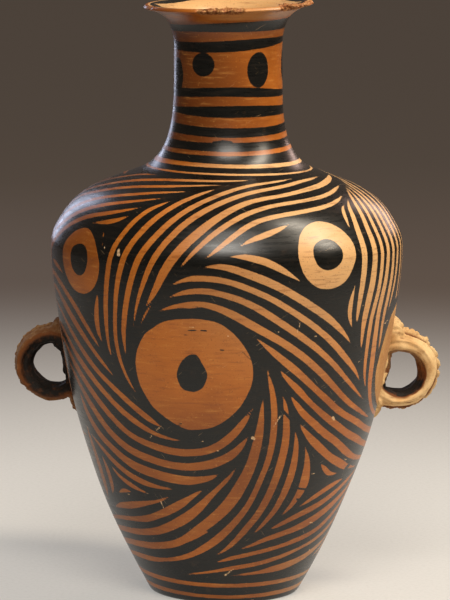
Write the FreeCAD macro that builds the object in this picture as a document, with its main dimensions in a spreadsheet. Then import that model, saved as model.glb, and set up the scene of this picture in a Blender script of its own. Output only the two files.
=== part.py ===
import FreeCAD, Part
import os
import Sketcher
from FreeCAD import Vector

# Two-lugged painted jar with a tall neck, hand built in coils of clay.
#
# Axes: Z points up out of the mouth, -Y is the front, +X is to the right of someone facing the front.
# Origin: the middle of the flat resting face of the base. Lengths are in millimetres, angles in degrees.
#
# The wall is one smooth turned outline, divided into the base disc and the rings of clay that were
# laid on each other. Below the widest place the rings meet on level joints, on the shoulder they meet
# on sloping ones that stand square to the wall. Each strap lug is a thick-waisted loop pressed onto the
# wall, with a notched strip of clay along the middle of its back.
#
# The outside of the wall runs through a row of places, from the foot up to the lip. Each place has a
# radius, a rise from the place below it, and a lean, which is the wall's slope from the vertical,
# positive where the wall leans outwards on the way up.

SIZES = {
    # Base and foot
    "base_thickness": 8.0,
    "foot_radius": 46.8,
    "foot_round": 2.5,
    "foot_lean": 29.0,
    # Swell: where the lower wall turns upright. The inset is measured from the widest radius.
    "swell_inset": 4.2,
    "swell_rise": 169.5,
    "swell_lean": 7.2,
    # Belly: the widest place
    "belly_radius": 107.0,
    "belly_rise": 42.0,
    # Shoulder: where the wall turns over. The inset is measured from the widest radius.
    "shoulder_inset": 8.3,
    "shoulder_rise": 19.6,
    "shoulder_lean": -34.3,
    # Root: the flattest slope, just outside the neck. The flare is measured from the neck's radius.
    "root_flare": 20.3,
    "root_rise": 26.2,
    "root_lean": -67.3,
    # Neck: its narrowest place
    "neck_radius": 33.0,
    "neck_rise": 64.1,
    # Throat: where the neck opens. The flare is measured from the neck's radius.
    "throat_flare": 4.0,
    "throat_rise": 26.1,
    "throat_lean": 30.0,
    # Lip: turned out and rounded. The flare is measured from the throat.
    "lip_flare": 14.5,
    "lip_rise": 10.0,
    "lip_thickness": 4.0,
    "lip_round": 2.0,
    "lip_lean": 78.0,
    # Thickness of the clay
    "wall": 6.0,
    "neck_wall": 5.0,
    # How far the handles of the outline's curves reach, as a share of the distance between two places
    "handle_share": 0.36,
    # Joints between the rings of clay
    "wall_coil_count": 8,
    "shoulder_joint_tilt": 28.0,
    "collar_rise": 25.0,
    "neck_coil_count": 2,
    "rim_depth": 15.0,
    # Strap lugs: a loop of oval section that stands out of the wall. The edge radius is that of the
    # strap's two edges, and the bulges are measured from there to the middle of its width.
    "lug_drop": 38.0,
    "lug_stand_off": 3.4,
    "lug_set_back": 8.0,
    "strap_width": 24.0,
    "strap_edge_radius": 20.6,
    "strap_outer_bulge": 3.6,
    "strap_inner_bulge": 7.1,
    # Swollen roots of the lugs, where the clay was smoothed onto the wall
    "upper_root_inset": 6.5,
    "upper_root_length": 13.0,
    "lower_root_inset": 13.5,
    "lower_root_length": 10.0,
    "root_swell": 6.0,
    "root_half_width": 14.0,
    # Notched strip on the back of each lug
    "ridge_width": 8.0,
    "ridge_height": 2.8,
    "notch_count": 20,
    "notch_radius": 2.2,
    "notch_depth": 1.5,
    # Length by which cutting shapes run past what they cut
    "overrun": 6.0,
}

# Places of the outline above the foot, each a rise above the one before
PLACES = ("swell", "belly", "shoulder", "root", "neck", "throat", "lip")

# Places of the sloping joints on the shoulder, at the height of its root: 0 at the neck's radius, 1 at the widest
# radius. The lowest joint starts beyond the widest radius and slopes in to the wall.
SHOULDER_JOINT_SHARES = (1.12, 0.84, 0.5, 0.15)

LUG_SIDES = ("right", "left")


# Helpers


def make_sheet(doc):
    """Writes every size into the spreadsheet under its own alias."""
    sheet = doc.addObject("Spreadsheet::Sheet", "Sizes")
    for row, (name, value) in enumerate(SIZES.items(), start=1):
        sheet.set("A%d" % row, name)
        sheet.set("B%d" % row, repr(value))
        sheet.setAlias("B%d" % row, name)
    doc.recompute()
    return sheet


def size(name):
    """The sheet's formula name of a size."""
    return "Sizes." + name


def angle(name):
    """A size of the sheet read as an angle in a formula."""
    return "Sizes.%s * 1deg" % name


def origin_plane(body, role):
    """One of the body's own three origin planes."""
    return next(plane for plane in body.Origin.OriginFeatures if plane.Role == role)


def new_sketch(body, name, role):
    """A sketch on one of the body's origin planes."""
    sketch = body.newObject("Sketcher::SketchObject", name)
    sketch.AttachmentSupport = [(origin_plane(body, role), "")]
    sketch.MapMode = "FlatFace"
    return sketch


def read_point(sketch, across, up):
    """Where two formulas put a point now. None stands for zero."""
    return Vector(
        float(sketch.evalExpression(across)) if across else 0,
        float(sketch.evalExpression(up)) if up else 0,
        0,
    )


def tie_point(sketch, ties, geometry, end, across, up):
    """Notes that a point of the sketch follows two formulas. None puts it on that axis."""
    place = read_point(sketch, across, up)
    for kind, axis, formula, value in (
        ("DistanceX", -2, across, place.x),
        ("DistanceY", -1, up, place.y),
    ):
        if formula is None:
            ties.append((Sketcher.Constraint("PointOnObject", geometry, end, axis), None))
        else:
            ties.append((Sketcher.Constraint(kind, -1, 1, geometry, end, value), formula))


def apply_ties(sketch, ties):
    """Puts all the noted ties on the sketch at once and binds them to the sheet."""
    numbers = sketch.addConstraint([constraint for constraint, formula in ties])
    for number, (constraint, formula) in zip(numbers, ties):
        if formula:
            sketch.setExpression("Constraints[%d]" % number, formula)


def add_line(sketch, ties, start, end):
    """A straight edge between two places, each a pair of formulas."""
    line = sketch.addGeometry(Part.LineSegment(read_point(sketch, *start), read_point(sketch, *end)))
    tie_point(sketch, ties, line, 1, *start)
    tie_point(sketch, ties, line, 2, *end)


def add_span(sketch, ties, start, end):
    """A smooth curve between two places of an outline, each with the lean that it has there."""
    (start_across, start_up, start_lean), (end_across, end_up, end_lean) = start, end
    chord = "hypot((%s) - (%s); (%s) - (%s))" % (
        end_across or "0",
        start_across or "0",
        end_up or "0",
        start_up or "0",
    )
    reach = "%s * %s" % (size("handle_share"), chord)
    handles = [
        (
            "%s + %s * sin(%s)" % (start_across or "0", reach, start_lean),
            "%s + %s * cos(%s)" % (start_up or "0", reach, start_lean),
        ),
        (
            "%s - %s * sin(%s)" % (end_across or "0", reach, end_lean),
            "%s - %s * cos(%s)" % (end_up or "0", reach, end_lean),
        ),
    ]
    places = [start[:2]] + handles + [end[:2]]
    points = [read_point(sketch, *place) for place in places]
    curve = sketch.addGeometry(Part.BSplineCurve(points, None, None, False, len(points) - 1, None, False))
    tie_point(sketch, ties, curve, 1, *places[0])
    tie_point(sketch, ties, curve, 2, *places[-1])
    for index, place in enumerate(handles, start=1):
        handle = sketch.addGeometry(Part.Circle(points[index], Vector(0, 0, 1), 1), True)
        alignment = "InternalAlignment:Sketcher::BSplineControlPoint"
        ties.append((Sketcher.Constraint(alignment, handle, 3, curve, index), None))
        ties.append((Sketcher.Constraint("Weight", handle, 1), None))
        tie_point(sketch, ties, handle, 3, *place)


def add_outline(sketch, ties, places):
    """Smooth curves through a row of places."""
    for start, end in zip(places[:-1], places[1:]):
        add_span(sketch, ties, start, end)


def revolve(body, sketch, name, axis):
    """Turns a closed sketch into a solid about one of its own axes."""
    turned = body.newObject("PartDesign::Revolution", name)
    turned.Profile = sketch
    turned.ReferenceAxis = (sketch, [axis])
    turned.Angle = 360
    sketch.Visibility = False
    return turned


def add_part(doc, kind, name, **formulas):
    """A primitive of the Part workbench with its sizes bound to formulas."""
    part = doc.addObject(kind, name)
    for field, formula in formulas.items():
        part.setExpression(field.replace("__", "."), formula)
    return part


def boolean(doc, kind, name, base, tool):
    """A boolean of two objects of the document."""
    result = doc.addObject(kind, name)
    result.Base = base
    result.Tool = tool
    return result


# The turned outline


def height_at(place):
    """The height of one of the outline's places: the sum of the rises up to it."""
    rises = [size(name + "_rise") for name in PLACES[: PLACES.index(place) + 1]]
    return "(%s + %s)" % (size("foot_round"), " + ".join(rises))


def radius_at(place):
    """The radius of one of the outline's places, from the radius that it is measured from."""
    if place in ("swell", "shoulder"):
        return "(%s - %s)" % (size("belly_radius"), size(place + "_inset"))
    if place in ("root", "throat"):
        return "(%s + %s)" % (size("neck_radius"), size(place + "_flare"))
    if place == "lip":
        return "(%s + %s)" % (radius_at("throat"), size("lip_flare"))
    return size(place + "_radius")


def lean_at(place):
    """The lean of one of the outline's places. The widest and the narrowest stand upright."""
    return "0deg" if place in ("belly", "neck") else angle(place + "_lean")


def outer_places():
    """The outside of the wall, from the resting face up to the crest of the lip."""
    resting_edge = ("%s - %s" % (size("foot_radius"), size("foot_round")), None, "90deg")
    foot = (size("foot_radius"), size("foot_round"), angle("foot_lean"))
    wall_places = [(radius_at(place), height_at(place), lean_at(place)) for place in PLACES[:-1]]
    top = height_at("lip")
    inside_lip_edge = "%s - %s" % (radius_at("lip"), size("lip_round"))
    under_lip = (inside_lip_edge, "%s - %s" % (top, size("lip_thickness")), angle("lip_lean"))
    lip_edge = (radius_at("lip"), "%s - %s / 2" % (top, size("lip_thickness")), "0deg")
    crest = (inside_lip_edge, top, "-90deg")
    return [resting_edge, foot] + wall_places + [under_lip, lip_edge, crest]


def inside_of(place, thickness):
    """The place on the inner face that lies square behind a place of the outer face."""
    return (
        "%s - %s * cos(%s)" % (radius_at(place), size(thickness), lean_at(place)),
        "%s + %s * sin(%s)" % (height_at(place), size(thickness), lean_at(place)),
        lean_at(place),
    )


def inner_places():
    """The inside of the wall, from the edge of the floor up to the crest of the lip."""
    lean = angle("foot_lean")
    outside_radius = "%s + (%s - %s) * tan(%s)" % (
        size("foot_radius"),
        size("base_thickness"),
        size("foot_round"),
        lean,
    )
    floor_edge = ("%s - %s / cos(%s)" % (outside_radius, size("wall"), lean), size("base_thickness"), lean)
    body_places = [inside_of(place, "wall") for place in ("swell", "belly", "shoulder", "root")]
    neck_places = [inside_of(place, "neck_wall") for place in ("neck", "throat")]
    crest_radius, crest_height, _ = outer_places()[-1]
    return [floor_edge] + body_places + neck_places + [(crest_radius, crest_height, "90deg")]


def make_wall(doc):
    """The whole hollow pot before it is divided into its rings of clay."""
    body = doc.addObject("PartDesign::Body", "Whole_wall")
    sketch = new_sketch(body, "Wall_outline", "XZ_Plane")
    outer = outer_places()
    inner = inner_places()
    floor_middle = (None, size("base_thickness"))
    ties = []
    add_line(sketch, ties, (None, None), outer[0][:2])
    add_outline(sketch, ties, outer)
    add_outline(sketch, ties, inner)
    add_line(sketch, ties, inner[0][:2], floor_middle)
    add_line(sketch, ties, floor_middle, (None, None))
    apply_ties(sketch, ties)
    revolve(body, sketch, "Wall_turned", "V_Axis")
    return body


def make_filled_pot(doc):
    """The pot as if it were full, which the lugs are cut to fit."""
    body = doc.addObject("PartDesign::Body", "Filled_pot")
    sketch = new_sketch(body, "Outside_outline", "XZ_Plane")
    outer = outer_places()
    mouth_middle = (None, height_at("lip"))
    ties = []
    add_line(sketch, ties, (None, None), outer[0][:2])
    add_outline(sketch, ties, outer)
    add_line(sketch, ties, outer[-1][:2], mouth_middle)
    add_line(sketch, ties, mouth_middle, (None, None))
    apply_ties(sketch, ties)
    revolve(body, sketch, "Outside_turned", "V_Axis")
    return body


# Zones that divide the wall


def level_zone(doc, name, bottom, top):
    """Everything between two level planes."""
    return add_part(
        doc,
        "Part::Cylinder",
        name,
        Radius="%s + %s" % (size("belly_radius"), size("overrun")),
        Height="(%s) - (%s)" % (top, bottom),
        Placement__Base__z=bottom,
    )


def cone_zone(doc, name, share):
    """Everything inside one sloping joint of the shoulder."""
    neck, belly = size("neck_radius"), size("belly_radius")
    bottom, middle, top = height_at("belly"), height_at("root"), above_pot()
    radius = "%s + %r * (%s - %s)" % (neck, share, belly, neck)
    slope = "tan(%s)" % angle("shoulder_joint_tilt")
    return add_part(
        doc,
        "Part::Cone",
        name,
        Radius1="%s - (%s - %s) * %s" % (radius, middle, bottom, slope),
        Radius2="%s + (%s - %s) * %s" % (radius, top, middle, slope),
        Height="%s - %s" % (top, bottom),
        Placement__Base__z=bottom,
    )


def above_pot():
    """A height clear above the lip."""
    return "(%s + %s)" % (height_at("lip"), size("overrun"))


def step_between(bottom, top, number, count):
    """The height that lies a number of equal steps above the bottom."""
    return "(%s + (%s - %s) * %d / %s)" % (bottom, top, bottom, number, size(count))


def level_zones(doc, name, bottom, top, count):
    """Zones of equal height, each with the name of the coil that fills it."""
    zones = []
    for number in range(SIZES[count]):
        zone_bottom = step_between(bottom, top, number, count)
        zone_top = step_between(bottom, top, number + 1, count)
        zone_name = "%s_%d" % (name, number + 1)
        zones.append((zone_name, level_zone(doc, zone_name + "_zone", zone_bottom, zone_top)))
    return zones


def shoulder_zones(doc):
    """The zones between the sloping joints, and everything inside the last of them."""
    zones = []
    outside = level_zone(doc, "Above_belly", height_at("belly"), above_pot())
    for number, share in enumerate(SHOULDER_JOINT_SHARES, start=1):
        inside = cone_zone(doc, "Inside_joint_%d" % number, share)
        zone_name = "shoulder_coil_%d" % number
        zones.append((zone_name, boolean(doc, "Part::Cut", zone_name + "_zone", outside, inside)))
        outside = inside
    return zones, outside


def wall_zones(doc):
    """The name of each ring of clay and the zone of the wall that it fills, from the base up."""
    floor = size("base_thickness")
    collar_top = "(%s + %s)" % (height_at("root"), size("collar_rise"))
    rim_bottom = "(%s - %s)" % (height_at("lip"), size("rim_depth"))
    base = ("base_disc", level_zone(doc, "base_disc_zone", "0", floor))
    lower = level_zones(doc, "wall_coil", floor, height_at("belly"), "wall_coil_count")
    shoulder, inside_shoulder = shoulder_zones(doc)
    below_collar_top = level_zone(doc, "Below_collar_top", height_at("belly"), collar_top)
    collar_zone = boolean(doc, "Part::Common", "neck_collar_zone", inside_shoulder, below_collar_top)
    neck = level_zones(doc, "neck_coil", collar_top, rim_bottom, "neck_coil_count")
    rim = ("mouth_rim", level_zone(doc, "mouth_rim_zone", rim_bottom, above_pot()))
    return [base] + lower + shoulder + [("neck_collar", collar_zone)] + neck + [rim]


def make_rings(doc, wall):
    """The base disc and every ring of clay, each a zone of the whole wall."""
    rings = []
    for name, zone in wall_zones(doc):
        ring = boolean(doc, "Part::Common", name, wall, zone)
        ring.Label = name
        rings.append(ring)
    return rings


# Lugs


def place_on_lug(part, side, inset="0", rise="0"):
    """Puts a piece at the middle of a lug's loop, inset towards the axis and raised."""
    turn = angle("lug_set_back") if side == "right" else "180deg - " + angle("lug_set_back")
    radius = "(%s + %s - %s)" % (radius_at("swell"), size("lug_stand_off"), inset)
    part.Placement.Rotation.Axis = Vector(0, 0, 1)
    part.setExpression("Placement.Base.x", "%s * cos(%s)" % (radius, turn))
    part.setExpression("Placement.Base.y", "%s * sin(%s)" % (radius, turn))
    part.setExpression("Placement.Base.z", "%s - %s + %s" % (height_at("swell"), size("lug_drop"), rise))
    part.setExpression("Placement.Rotation.Angle", turn)


def make_strap_ring(doc, side):
    """The loop of clay: an oval section, thickest at mid-width, turned about the axis of the loop."""
    body = doc.addObject("PartDesign::Body", side + "_strap_ring")
    sketch = new_sketch(body, side + "_strap_section", "YZ_Plane")
    edge_radius = size("strap_edge_radius")
    front = ("-%s / 2" % size("strap_width"), edge_radius, "0deg")
    back = ("%s / 2" % size("strap_width"), edge_radius, "180deg")
    outside = (None, "%s + %s" % (edge_radius, size("strap_outer_bulge")), "90deg")
    inside = (None, "%s - %s" % (edge_radius, size("strap_inner_bulge")), "-90deg")
    ties = []
    add_outline(sketch, ties, [front, outside, back, inside, front])
    apply_ties(sketch, ties)
    revolve(body, sketch, side + "_strap_turned", "H_Axis")
    place_on_lug(body, side)
    return body


def make_strap_root(doc, side, level, rise):
    """A swollen root of the lug, smoothed onto the wall."""
    root = add_part(
        doc,
        "Part::Ellipsoid",
        "%s_%s_root" % (side, level),
        Radius1=size(level + "_root_length"),
        Radius2=size("root_swell"),
        Radius3=size("root_half_width"),
    )
    place_on_lug(root, side, size(level + "_root_inset"), rise)
    return root


def make_strap(doc, side, filled_pot):
    """One strap lug, cut to sit on the wall."""
    ring = make_strap_ring(doc, side)
    upper = make_strap_root(doc, side, "upper", size("strap_edge_radius"))
    lower = make_strap_root(doc, side, "lower", "-" + size("strap_edge_radius"))
    whole = doc.addObject("Part::MultiFuse", side + "_strap_whole")
    whole.Shapes = [ring, upper, lower]
    strap = boolean(doc, "Part::Cut", side + "_lug_strap", whole, filled_pot)
    strap.Label = side + "_lug_strap"
    return strap


def ridge_crest():
    """The radius of the notched strip's crest about the axis of the loop."""
    return "%s + %s + %s" % (size("strap_edge_radius"), size("strap_outer_bulge"), size("ridge_height"))


def make_ridge_ring(doc, side):
    """The strip along the back of a lug before it is notched, its sides sunk to the strap's edge radius."""
    body = doc.addObject("PartDesign::Body", side + "_ridge_ring")
    sketch = new_sketch(body, side + "_ridge_section", "YZ_Plane")
    front = ("-%s / 2" % size("ridge_width"), size("strap_edge_radius"), "0deg")
    crest = (None, ridge_crest(), "90deg")
    back = ("%s / 2" % size("ridge_width"), size("strap_edge_radius"), "180deg")
    ties = []
    add_outline(sketch, ties, [front, crest, back])
    add_line(sketch, ties, back[:2], front[:2])
    apply_ties(sketch, ties)
    revolve(body, sketch, side + "_ridge_turned", "H_Axis")
    return body


def cut_notches(body, side):
    """Round notches across the strip, evenly spaced about the axis of the loop."""
    sketch = new_sketch(body, side + "_notch_outline", "XZ_Plane")
    middle = (None, "%s + %s - %s" % (ridge_crest(), size("notch_radius"), size("notch_depth")))
    centre = read_point(sketch, *middle)
    circle = sketch.addGeometry(Part.Circle(centre, Vector(0, 0, 1), SIZES["notch_radius"]))
    ties = [(Sketcher.Constraint("Radius", circle, SIZES["notch_radius"]), size("notch_radius"))]
    tie_point(sketch, ties, circle, 3, *middle)
    apply_ties(sketch, ties)
    notch = body.newObject("PartDesign::Pocket", side + "_notch")
    notch.Profile = sketch
    notch.Type = "Length"
    notch.Midplane = True
    notch.setExpression("Length", "%s + %s" % (size("ridge_width"), size("overrun")))
    notches = body.newObject("PartDesign::PolarPattern", side + "_notches")
    notches.Originals = [notch]
    notches.Axis = (sketch, ["N_Axis"])
    notches.Angle = 360
    notches.setExpression("Occurrences", size("notch_count"))
    body.Tip = notches


def make_ridge(doc, side, filled_pot, strap):
    """The strip along the back of a lug, pressed into notches, cut to sit on the strap and the wall."""
    body = make_ridge_ring(doc, side)
    doc.recompute()
    cut_notches(body, side)
    place_on_lug(body, side)
    off_wall = boolean(doc, "Part::Cut", side + "_ridge_off_wall", body, filled_pot)
    ridge = boolean(doc, "Part::Cut", side + "_lug_ridge", off_wall, strap)
    ridge.Label = side + "_lug_ridge"
    return ridge


# The document


def check_document(doc, parts):
    """Stops with a plain message if any object or piece is unsound."""
    for item in doc.Objects:
        if "Invalid" in item.State or "Error" in item.State:
            raise RuntimeError("%s failed: %s" % (item.Name, item.State))
    for part in parts:
        if part.Shape.isNull() or not part.Shape.isValid():
            raise RuntimeError("%s has no sound shape" % part.Label)
        if len(part.Shape.Solids) != 1:
            raise RuntimeError("%s has %d solids" % (part.Label, len(part.Shape.Solids)))


def main():
    os.makedirs("parts", exist_ok=True)
    doc = FreeCAD.newDocument("Lugged_jar")
    make_sheet(doc)
    wall = make_wall(doc)
    filled_pot = make_filled_pot(doc)
    parts = make_rings(doc, wall)
    for side in LUG_SIDES:
        strap = make_strap(doc, side, filled_pot)
        parts.append(strap)
        parts.append(make_ridge(doc, side, filled_pot, strap))
    doc.recompute()
    check_document(doc, parts)
    for part in parts:
        part.Shape.exportStep("parts/%s.step" % part.Label)
        box = part.Shape.BoundBox
        print(
            "%-18s %10.1f mm3  x %.1f to %.1f  y %.1f to %.1f  z %.1f to %.1f"
            % (part.Label, part.Shape.Volume, box.XMin, box.XMax, box.YMin, box.YMax, box.ZMin, box.ZMax)
        )


main()
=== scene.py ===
"""A two-lugged painted pottery jar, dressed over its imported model: burnished clay wall painted in black,
bare clay lugs with notched ridges, a pale floor and soft studio light."""

import math
from types import SimpleNamespace

import bpy
import numpy as np
from mathutils import Matrix, Vector


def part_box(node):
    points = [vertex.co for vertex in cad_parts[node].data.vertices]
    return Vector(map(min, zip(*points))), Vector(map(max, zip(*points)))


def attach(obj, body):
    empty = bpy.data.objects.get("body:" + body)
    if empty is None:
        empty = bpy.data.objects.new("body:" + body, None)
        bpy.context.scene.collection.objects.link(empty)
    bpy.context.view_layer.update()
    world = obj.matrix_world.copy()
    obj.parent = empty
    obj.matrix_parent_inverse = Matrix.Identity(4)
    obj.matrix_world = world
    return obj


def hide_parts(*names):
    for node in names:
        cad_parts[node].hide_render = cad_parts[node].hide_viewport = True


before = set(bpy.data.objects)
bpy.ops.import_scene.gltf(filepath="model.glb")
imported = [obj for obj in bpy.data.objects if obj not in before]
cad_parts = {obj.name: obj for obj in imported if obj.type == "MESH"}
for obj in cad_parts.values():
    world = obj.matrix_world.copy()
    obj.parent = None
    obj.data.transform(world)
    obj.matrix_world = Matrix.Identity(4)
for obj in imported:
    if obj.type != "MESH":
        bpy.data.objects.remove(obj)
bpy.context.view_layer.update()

bl_info = {
    "name": "Painted Jar",
    "version": (1, 0, 0),
    "blender": (4, 5, 0),
    "location": "3D Viewport > Sidebar > Jar",
    "description": "Builds a painted pottery jar with two lugs, and its studio",
    "category": "Add Mesh",
}

MM = 0.001
# Points that lie closer together are merged
SAME_POINT = 0.001 * MM
# Unevenness is so many waves added up, each with a way and a length of its own
WAVES = 9

# The outside of the wall from the foot to the crest of the lip: radius, height, lean (mm, mm, degrees)
OUTSIDE = (
    (44.3, 0, 90),
    (46.8, 2.5, 29),
    (102.8, 172, 7.2),
    (107, 214, 0),
    (98.7, 233.6, -34.3),
    (53.3, 259.8, -67.3),
    (33, 323.9, 0),
    (37, 350, 30),
    (49.5, 356, 78),
    (51.5, 358, 0),
    (49.5, 360, -90),
)
# Each span of the outline is a curve of so many points, whose handles have this share of its length
SPAN_POINTS = 61
HANDLE_SHARE = 0.36
# The neck, where the wall is thinner, starts at one height, and the lip turns out from the other, in mm
NECK_LEVEL = 300
LIP_LEVEL = 350
BODY_WALL = 6
NECK_WALL = 5
FLOOR_HEIGHT = 8
# The painter's tape is laid from the corner of the foot, this far up the outline from the resting face
TAPE_START = 1.1
# Distances from painted edges are kept up to here, and an edge blurs over this much to either side, in mm
REACH = 3.0
BRUSH_BLUR = 0.22
# A scratch ends with this share of its width
SCRATCH_TAIL = 0.6
# Black arcs hang inside the lip below an edge of clay, further in the middle than at their ends. Under them
# the slip reaches down into the throat. In mm from the lip's crest, and the phase is in degrees of an arc.
LIP_ARCS = 6
ARC_PHASE = 40
ARC_ENDS = 3.0
ARC_SAG = 6.5
LIP_EDGE = 1.8
THROAT_DEPTH = 26

# The jar is painted alike on both sides, so each stroke comes again half a turn round.
# A stroke gives, for each place of its centre line, the azimuth in degrees, the height along the wall in mm
# and its width there in mm. Azimuth 0 is the front, and it grows towards the right.

# The fan that sweeps over the left shoulder
SHOULDER_FAN = (
    ((-86, 218, 0), (-84, 222.5, 3.5), (-78, 228.7, 4.2), (-72, 237, 3.8), (-67.5, 243.2, 3.5),
     (-60, 249.9, 3.4), (-50, 254.3, 3.2), (-44.8, 257, 2.8), (-40, 259.6, 2), (-35, 263, 0)),
    ((-81, 235.7, 4), (-78, 239.3, 4), (-72, 246.8, 3.8), (-64.8, 254.3, 3.4), (-55, 260.9, 3.2),
     (-44.8, 265.8, 3), (-35.4, 270.2, 2.2), (-28.8, 273.3, 0)),
    ((-81, 248, 3.8), (-75, 254.3, 3.6), (-70, 259.6, 3.4), (-64.8, 264, 3.3), (-55, 270.2, 3.3),
     (-44.8, 274.6, 3.2), (-35.4, 279, 2.8), (-25, 281.3, 1.8), (-18, 283.5, 0)),
    ((-84, 261.4, 3.8), (-78, 265.3, 3.8), (-70, 272, 3.6), (-60, 279.1, 3.6), (-50, 283.5, 3.5),
     (-40, 286.1, 3.2), (-28, 288.8, 2.8), (-15, 291.4, 2), (-2, 292.6, 0)),
    ((-84, 271, 3.6), (-78, 277.3, 3.6), (-70, 284.4, 3.6), (-60, 290.1, 3.5), (-50, 293.2, 3.4),
     (-35, 296.3, 3), (-15, 297.2, 2.6), (5, 297.7, 1.8), (18.6, 299.2, 0)),
    ((-84, 286, 2.6), (-78, 290.5, 2.6), (-70, 295.9, 2.2), (-60, 298.5, 1.6), (-51.6, 299, 0)),
    ((-54.2, 246.3, 0), (-50, 247.7, 2.2), (-44.8, 249.2, 4), (-41.3, 251.8, 2.6), (-38, 255.2, 0)),
    ((-80, 216.6, 0), (-77, 216.3, 3), (-74, 215.2, 3.6), (-70.7, 213.6, 2.8), (-68, 211.4, 0)),
)

# The strokes that rise between the left disc and the large one and turn over the shoulder to the right
RISING = (
    ((-46.3, 242.2, 0), (-45.5, 239.9, 1.5), (-45.1, 237.6, 0)),
    ((-44.9, 236.2, 0), (-44.5, 234.6, 1.3), (-44.2, 232.6, 0)),
    ((-24.8, 271, 0), (-28, 266, 2.6), (-31, 262.3, 3.4), (-33.9, 255.2, 3.6), (-38, 241, 3.5),
     (-40.4, 226, 3.6), (-42, 210, 3.7), (-42.9, 200, 3.7), (-43.3, 190, 3.5), (-43.5, 180, 2.4),
     (-43, 170, 1.8), (-42, 164.4, 0)),
    ((-6.2, 287, 0), (-11.5, 282.6, 3), (-19.2, 272, 4), (-25, 259.6, 4), (-30, 247, 4), (-33.9, 233, 4),
     (-36.6, 217, 3.7), (-37.9, 208, 3.3), (-39.3, 190, 2.7), (-39.7, 180, 2.9), (-39.2, 170, 2.6),
     (-38.2, 162, 2.3), (-36.6, 155, 1.8), (-35.1, 149.8, 1.3), (-33.2, 145, 0)),
    ((44.5, 297.3, 0), (35, 296.3, 2), (20, 294, 2.6), (10, 291.4, 3), (0, 284.4, 3.8), (-10.3, 272.9, 4),
     (-19.2, 256.9, 4), (-25, 241.9, 4), (-29.5, 227.8, 4), (-32, 214.5, 3.9), (-34.3, 200, 3.8),
     (-35.5, 190, 3.7), (-36.2, 180, 2.9), (-36, 174.6, 1.8), (-35.8, 168, 0)),
    ((75, 294.8, 0), (57.5, 294, 2.4), (45.7, 293.2, 3.2), (35, 290, 3.4), (20, 286.6, 3.6), (10, 282.6, 4),
     (0, 274.6, 4.4), (-10.3, 261.4, 4.4), (-17.7, 247.2, 4.2), (-23.6, 230.4, 3.8), (-28, 211, 3),
     (-30.2, 200, 1.6), (-31.2, 192.3, 1.3), (-32, 186.1, 0)),
    ((93, 290.5, 0), (84, 290, 3), (70, 288.3, 4), (54.5, 284.8, 4.8), (40, 282.6, 4), (28, 278.2, 3.5),
     (15, 275.5, 4), (5, 269.3, 4.4), (-5, 255.2, 5), (-13.3, 240.2, 5.8), (-19.2, 225, 5.6),
     (-22, 214.5, 4.6), (-23.8, 208, 3.4), (-25.2, 204, 2.4), (-26.8, 199.7, 0)),
    ((-24.3, 202.3, 0), (-26.5, 196.8, 1.3), (-28, 192.5, 1.4), (-29.8, 185.7, 0)),
    ((72, 280.8, 0), (64.8, 279.1, 2.2), (54.5, 275.5, 3), (44.5, 272.4, 3.2), (28, 270, 3.2),
     (15, 266.7, 3.5), (5, 258.7, 3.6), (-2.4, 249, 3.5), (-7.4, 241, 3.2), (-13.3, 227.8, 2),
     (-15, 223.8, 0)),
    ((60, 271.2, 0), (53, 267.6, 2.4), (44.5, 263.6, 3.2), (28, 260.5, 3.2), (15, 257.4, 3.4),
     (7.4, 252.1, 3.4), (0, 241, 3.3), (-5, 232.6, 2), (-6.8, 230.4, 0)),
    ((3.5, 237.1, 0), (7.4, 241.5, 2.6), (12.7, 244.6, 4), (17.7, 248.1, 3.4), (23.3, 252.1, 0)),
    ((-46.3, 204.7, 0), (-47.2, 198, 3.4), (-48.1, 190, 4.5), (-48, 183.5, 4.2), (-47.4, 178.5, 2.5),
     (-46.1, 174.2, 0)),
)

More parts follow.
